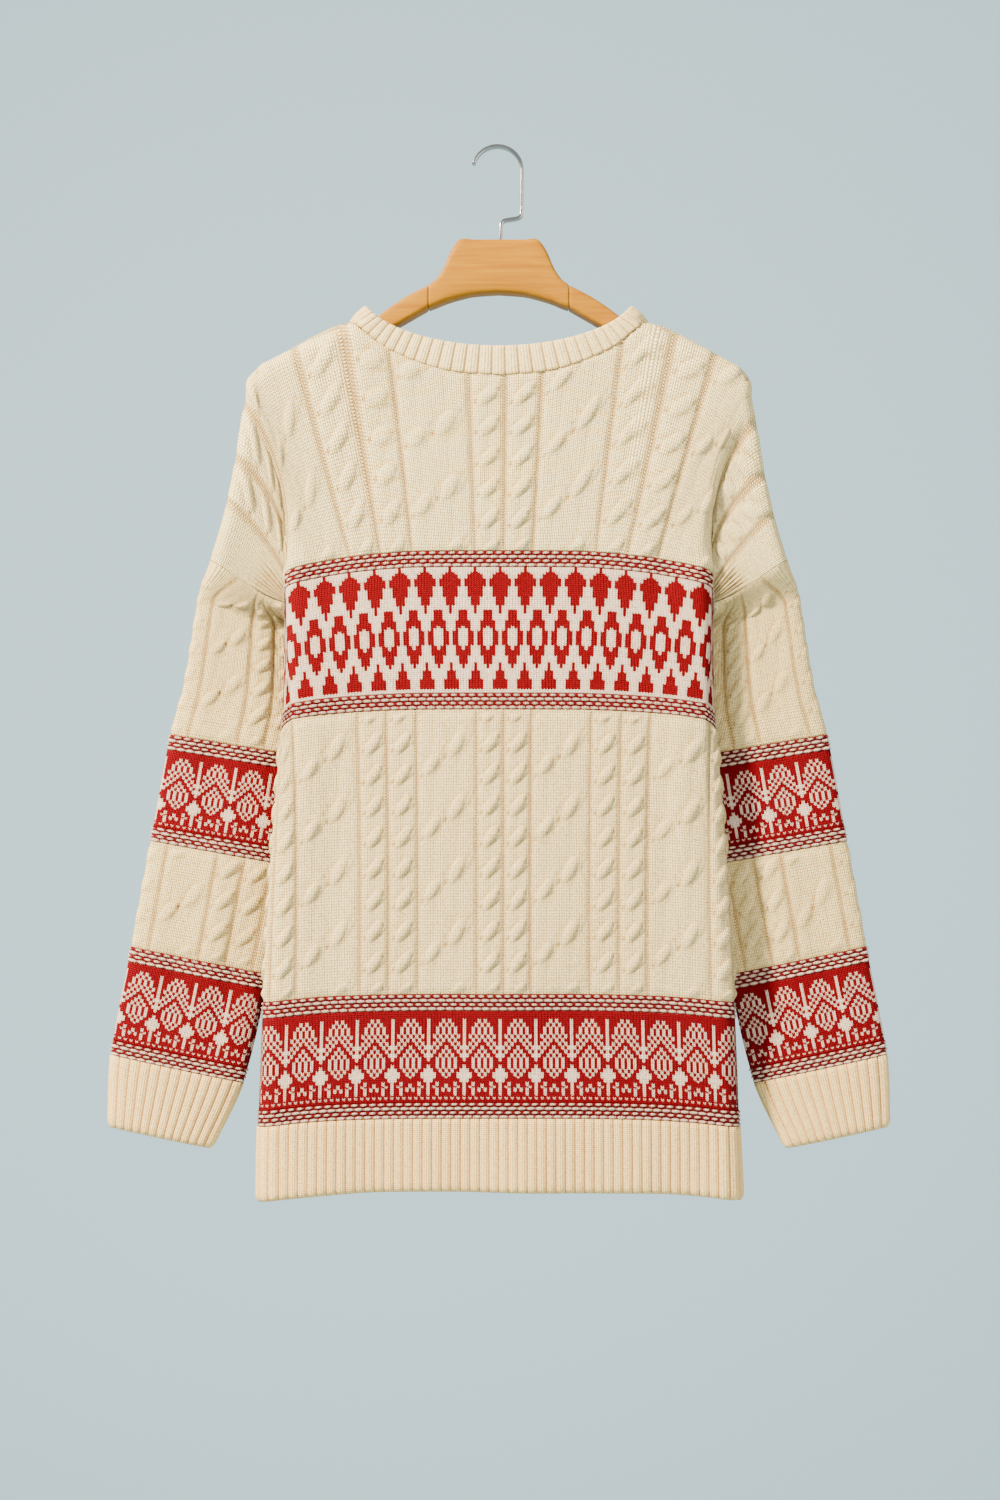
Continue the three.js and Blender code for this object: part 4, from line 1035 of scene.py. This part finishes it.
def sleeve_welt(name, hand, top):
    """A welt of 30 beads round the sleeve."""
    part, at = sleeve_grid(top, top + 12, 24, 200)
    height, white, shadow = beads(part * GIRTH, at - top, 12, pitch=GIRTH / 30)
    return sleeve_shell(name, hand, part, at, 1.7 * height, (24, 10), banded(DEEP_RED, height, white, shadow),
                        MIDDLE_CREAM)


def sleeve_band(name, hand, top, foot):
    """A repeat is 12 stitches, so 8 of them go round the sleeve."""
    rows, around = 48, 96
    part, at = sleeve_grid(top, foot, rows, 2 * around, 0.62)
    reds = charted(FANS_AND_FLOWERS, np.arange(2 * around) // 2, np.arange(rows))
    return sleeve_shell(name, hand, part, at, 0.25 + 0 * part, (12, 8), two_coloured(reds, DEEP_RED),
                        MIDDLE_CREAM)


def cuff(name, hand):
    """A ribbed ring on the sleeve's last section."""
    def place(part, t, lift):
        at = SLEEVE_END + t * (CUFF_END - SLEEVE_END)
        return sleeve_place(turn_at(part), at, lift) * [hand, 1, 1]

    return ribbed_ring(
        name, place, 26, GIRTH / 26 * 0.85, 14, CUFF_END - SLEEVE_END, (7, 8), RIB_CREAM_AND_GROOVE_SHADE, fold=2.0)


sleeves = {}
for hand, word in ((1, "right"), (-1, "left")):
    sleeves[word] = [
        sleeve_cables(f"sleeve_top_{word}", hand, -HEAD, 121, 130, 160, SHADED_SLEEVE_CREAM),
        sleeve_welt(f"sleeve_welt_1_{word}", hand, 121),
        sleeve_band(f"sleeve_band_upper_{word}", hand, 133, 194),
        sleeve_welt(f"sleeve_welt_2_{word}", hand, 194),
        sleeve_cables(f"sleeve_middle_{word}", hand, 206, 291, 70, 160, SHADED_SLEEVE_CREAM),
        sleeve_welt(f"sleeve_welt_3_{word}", hand, 291),
        sleeve_band(f"sleeve_band_lower_{word}", hand, 303, 366),
        sleeve_welt(f"sleeve_welt_4_{word}", hand, 366),
    ]
    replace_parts(sleeves[word][0], f"sleeve_{word}")
    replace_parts(cuff(f"cuff_{word}", hand), f"cuff_{word}")

# %% [markdown]
# The hanger is beech: hard, fine-grained and light, cut in three pieces that are glued together, rounded
# over with a router and varnished. Its grain runs along each piece, with short dark flecks. The section is
# a rounded rectangle, carried along the piece between an upper and a lower edge line.


# %% Beech
def beech_material():
    """Clear-varnished beech: warm tan, thin darker growth lines and short flecks along the grain."""
    material, tree = new_material("varnished beech")
    place = node(tree, "ShaderNodeTexCoord").outputs["Object"]
    grain_place = node(tree, "ShaderNodeMapping", {0: place, "Scale": (9.0, 160.0, 160.0)})
    lines = node(tree, "ShaderNodeTexNoise", {0: grain_place.outputs[0], "Scale": 2.2, "Detail": 5.0,
                                              "Distortion": 0.4})
    fleck_place = node(tree, "ShaderNodeMapping", {0: place, "Scale": (120.0, 900.0, 900.0)})
    flecks = node(tree, "ShaderNodeTexNoise", {0: fleck_place.outputs[0], "Scale": 1.6, "Detail": 2.0})
    tone = node(tree, "ShaderNodeValToRGB", {0: lines.outputs[0]})
    tone.color_ramp.elements[0].position, tone.color_ramp.elements[1].position = 0.3, 0.72
    tone.color_ramp.elements[0].color = (*linear("#885400"), 1)
    tone.color_ramp.elements[1].color = (*linear("#9c6a00"), 1)
    dark = sums(tree, "MULTIPLY_ADD", flecks.outputs[0], -3.0, 1.35, clamp=True)
    dark = sums(tree, "MULTIPLY", dark, 0.35)
    tint = node(tree, "ShaderNodeMix", {0: dark, 6: tone.outputs[0], 7: (*linear("#7a4a18"), 1)},
                data_type="RGBA")
    bump = node(tree, "ShaderNodeBump", {"Height": lines.outputs[0], "Strength": 0.12, "Distance": 0.0004})
    wood = node(tree, "ShaderNodeBsdfPrincipled", {
        "Base Color": tint.outputs[2], "Normal": bump.outputs[0], "Roughness": 0.5,
        "Specular IOR Level": 0.12,
    })
    node(tree, "ShaderNodeOutputMaterial", {0: wood.outputs[0]})
    return material


BEECH = beech_material()


def closed_tube(name, rings, material):
    """A mesh through rings of points (rings, round, 3), its ends closed by a point each."""
    count, around = rings.shape[:2]
    ends = np.stack([rings[0].mean(0), rings[-1].mean(0)])
    points = np.concatenate([rings.reshape(-1, 3), ends]) / 1000
    quads, _ = grid_faces(count, around, 0, True, False)
    i = np.arange(around)
    first = np.stack([(i + 1) % around, i, np.full(around, count * around)], -1)
    last = np.stack([i, (i + 1) % around, np.full(around, 1 - (count - 1) * around + count * around)], -1)
    last = last + (count - 1) * around
    mesh = bpy.data.meshes.new(name)
    mesh.from_pydata(points.tolist(), [], quads.tolist() + first.tolist() + last.tolist())
    mesh.validate()
    mesh.polygons.foreach_set("use_smooth", np.ones(len(mesh.polygons), bool))
    volume = sum(mesh.vertices[f.vertices[0]].co.dot(f.normal) * f.area for f in mesh.polygons)
    if volume < 0:
        mesh.flip_normals()
    mesh.materials.append(material)
    piece = bpy.data.objects.new(name, mesh)
    bpy.context.scene.collection.objects.link(piece)
    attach(piece, "root")
    print(f"{name}: {len(mesh.polygons)} faces")
    return piece


# %% [markdown]
# Edge lines of the centre block and of an arm. The block flares at its foot to meet the arms on both
# sides; the arm slopes with the shoulder and ends round.

# %% Hanger pieces
WOOD = 21
BLOCK = columns(("top", "foot"), [
    (0, -75, -118), (20, -75, -119.5), (31, -75, -122), (38, -84, -124), (44, -98, -126), (50, -107, -128.5),
    (56, -111.8, -130.6),
])
ARM = columns(("top", "foot"), [
    (56.2, -112, -130.6), (75, -122, -141.5), (91, -133, -151), (104, -143.8, -160.5), (119, -151, -170),
    (140, -159, -181), (168, -172, -196), (181, -180.5, -201),
])


def carved(name, xs, shape, shrink):
    """A rounded rectangle carried along x: its corners are those of a superellipse of power 5. shrink is
    how much of its size each section keeps, which rounds the ends."""
    a = np.linspace(0, 2 * math.pi, 40, endpoint=False)[None, :]
    xs, shrink = xs[:, None], shrink[:, None]
    top, foot = shape["top"](np.abs(xs)), shape["foot"](np.abs(xs))

    def blunt(c):
        return np.sign(c) * np.abs(c) ** 0.4

    y = WOOD / 2 * blunt(np.cos(a)) * shrink
    z = (top + foot) / 2 + (top - foot) / 2 * blunt(np.sin(a)) * shrink
    return closed_tube(name, np.stack(np.broadcast_arrays(xs, y, z), -1), BEECH)


def ended(low, high, steps, soft_low, soft_high):
    """Stations along a piece, closer at its ends, and the size each keeps: over the soft length at either
    end it shrinks by up to a quarter, as a cubic."""
    ease = 1 - np.cos(np.linspace(0, math.pi / 2, 7))
    middle = np.linspace(low + soft_low, high - soft_high, steps)
    left = low + soft_low * ease[:-1]
    right = high - soft_high * ease[::-1][1:]
    xs = np.concatenate([left, middle, right])
    size = 1 - 0.25 * (1 - np.clip((xs - low) / soft_low, 0, 1)) ** 3 - 0.25 * (
        1 - np.clip((high - xs) / soft_high, 0, 1)) ** 3
    return xs, size


GLUED = 0.96  # size that an end keeps at a glue joint
JOINT = 56  # the glue joints lie this far from the middle
xs, size = ended(0.2 - JOINT, JOINT - 0.2, 60, 0.8, 0.8)
hanger_centre = carved("hanger_centre", xs, BLOCK, np.maximum(size, GLUED))
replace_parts(hanger_centre, "hanger_centre")
xs, size = ended(JOINT + 0.2, 186, 60, 0.8, 5)
size = np.where(xs < JOINT + 1.5, np.maximum(size, GLUED), size)
for hand, word in ((1, "right"), (-1, "left")):
    arm = carved(f"hanger_arm_{word}", hand * xs, ARM, size)
    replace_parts(arm, f"hanger_arm_{word}")

# %% [markdown]
# The hook is a flat steel strip, bent round a former and nickel-plated: a bright metal, a little uneven in
# polish. A rounded section is carried along the bend, its wide side across the hanger.


# %% Hook
def nickel_material():
    """Bright nickel plate on steel strip: a metal with a smooth polish."""
    material, tree = new_material("nickel-plated steel")
    place = node(tree, "ShaderNodeTexCoord").outputs["Object"]
    haze = node(tree, "ShaderNodeTexNoise", {0: place, "Scale": 160.0, "Detail": 3.0})
    rough = sums(tree, "MULTIPLY_ADD", haze.outputs[0], 0.16, 0.12)
    metal = node(tree, "ShaderNodeBsdfPrincipled", {
        "Base Color": (*linear("#8e8e8a"), 1), "Metallic": 1.0, "Roughness": rough,
    })
    node(tree, "ShaderNodeOutputMaterial", {0: metal.outputs[0]})
    return material


NICKEL = nickel_material()
HOOK_FOOT = [
    (18.7, -18.4), (18.6, -28), (18.5, -40), (18.4, -50), (17.6, -55.2), (14, -57.2),
    (6.2, -58.4), (2.8, -60.4), (1.9, -65.5), (1.8, -76),
]
turns = np.linspace(2.88, 0, 50)[:-1]
bow = np.stack([-1 + 19.7 * np.cos(turns), -18.4 + 19.7 * np.sin(turns)], -1)
steps = np.linspace(0, len(HOOK_FOOT) - 1, 60)
foot = np.stack([curve(range(len(HOOK_FOOT)), [p[k] for p in HOOK_FOOT])(steps) for k in (0, 1)], -1)
line = np.concatenate([bow, foot])
tangent = unit(np.gradient(line, axis=0))
out = np.stack([-tangent[:, 1], tangent[:, 0]], -1)
a = np.linspace(0, 2 * math.pi, 24, endpoint=False)
thick = 1.5 * np.sign(np.cos(a)) * np.abs(np.cos(a)) ** 0.4
wide = 3.25 * np.sign(np.sin(a)) * np.abs(np.sin(a)) ** 0.4
rings = np.stack([line[:, None, 0] + out[:, None, 0] * thick, np.broadcast_to(wide, (len(line), 24)),
                  line[:, None, 1] + out[:, None, 1] * thick], -1)
hook = closed_tube("hanger_hook", rings, NICKEL)
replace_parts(hook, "hanger_hook")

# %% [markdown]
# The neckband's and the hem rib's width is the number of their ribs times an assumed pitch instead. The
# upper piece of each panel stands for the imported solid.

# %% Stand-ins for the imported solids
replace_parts(yoke_back, "back_panel")
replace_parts(yoke_front, "front_panel")

# %% [markdown]
# The camera stands 1.8 m in front of the back of the sweater, a little below its middle and looking
# slightly up. A warm lamp at the upper left gives the relief its shadows, a large weaker one at the right
# fills them as a bright room does, and a faint one behind lights the far side.

# %% Camera, light and stage
AIM = np.array([0.001, 0.0, -0.4825])
EYE = AIM + [0, -1.8, -1.8 * math.tan(math.radians(2))]
camera = bpy.data.objects.new("camera", bpy.data.cameras.new("camera"))
camera.location = EYE
pitch = math.atan2(AIM[2] - EYE[2], AIM[1] - EYE[1])
camera.rotation_euler = (math.pi / 2 + pitch, 0, 0)
camera.data.lens = 54.45
bpy.context.scene.collection.objects.link(camera)
bpy.context.scene.camera = camera


def area_light(name, place, aim, size, power, colour):
    lamp = bpy.data.lights.new(name, "AREA")
    lamp.size, lamp.energy, lamp.color = size, power, linear(colour)
    lit = bpy.data.objects.new(name, lamp)
    lit.location = place
    way = np.array(aim) - np.array(place)
    lit.rotation_euler = (math.atan2(math.hypot(way[0], way[1]), -way[2]), 0,
                          math.atan2(way[1], way[0]) - math.pi / 2)
    bpy.context.scene.collection.objects.link(lit)


area_light("key", (-1.9, -1.5, 1.0), (0, 0, -0.45), 0.45, 500, "#fff0da")
area_light("fill", (1.8, -2.6, -0.2), (0, 0, -0.5), 2.4, 96, "#f8f4ee")
area_light("behind", (0.5, 2.2, 1.4), (0, 0, -0.4), 2.0, 30, "#f4f7ff")

world = bpy.data.worlds.new("studio")
world.use_nodes = True
world.node_tree.nodes["Background"].inputs[0].default_value = (*linear("#dfe5ec"), 1)
world.node_tree.nodes["Background"].inputs[1].default_value = 1.0
bpy.context.scene.world = world


def plain_material(name, colour):
    material, tree = new_material(name)
    surface = node(tree, "ShaderNodeBsdfPrincipled", {"Base Color": (*linear(colour), 1), "Roughness": 0.9})
    node(tree, "ShaderNodeOutputMaterial", {0: surface.outputs[0]})
    return material


def stage_quad(name, corners, material):
    mesh = bpy.data.meshes.new(name)
    mesh.from_pydata(corners, [], [(0, 1, 2, 3)])
    mesh.materials.append(material)
    piece = bpy.data.objects.new(name, mesh)
    bpy.context.scene.collection.objects.link(piece)


paint_wall = plain_material("pale wall paint", "#b6d1dc")
stage_quad("floor", [(-9, -9, -2.4), (9, -9, -2.4), (9, 9, -2.4), (-9, 9, -2.4)], paint_wall)
stage_quad("backdrop", [(-9, 4.0, -2.4), (9, 4.0, -2.4), (9, 4.0, 5), (-9, 4.0, 5)], paint_wall)
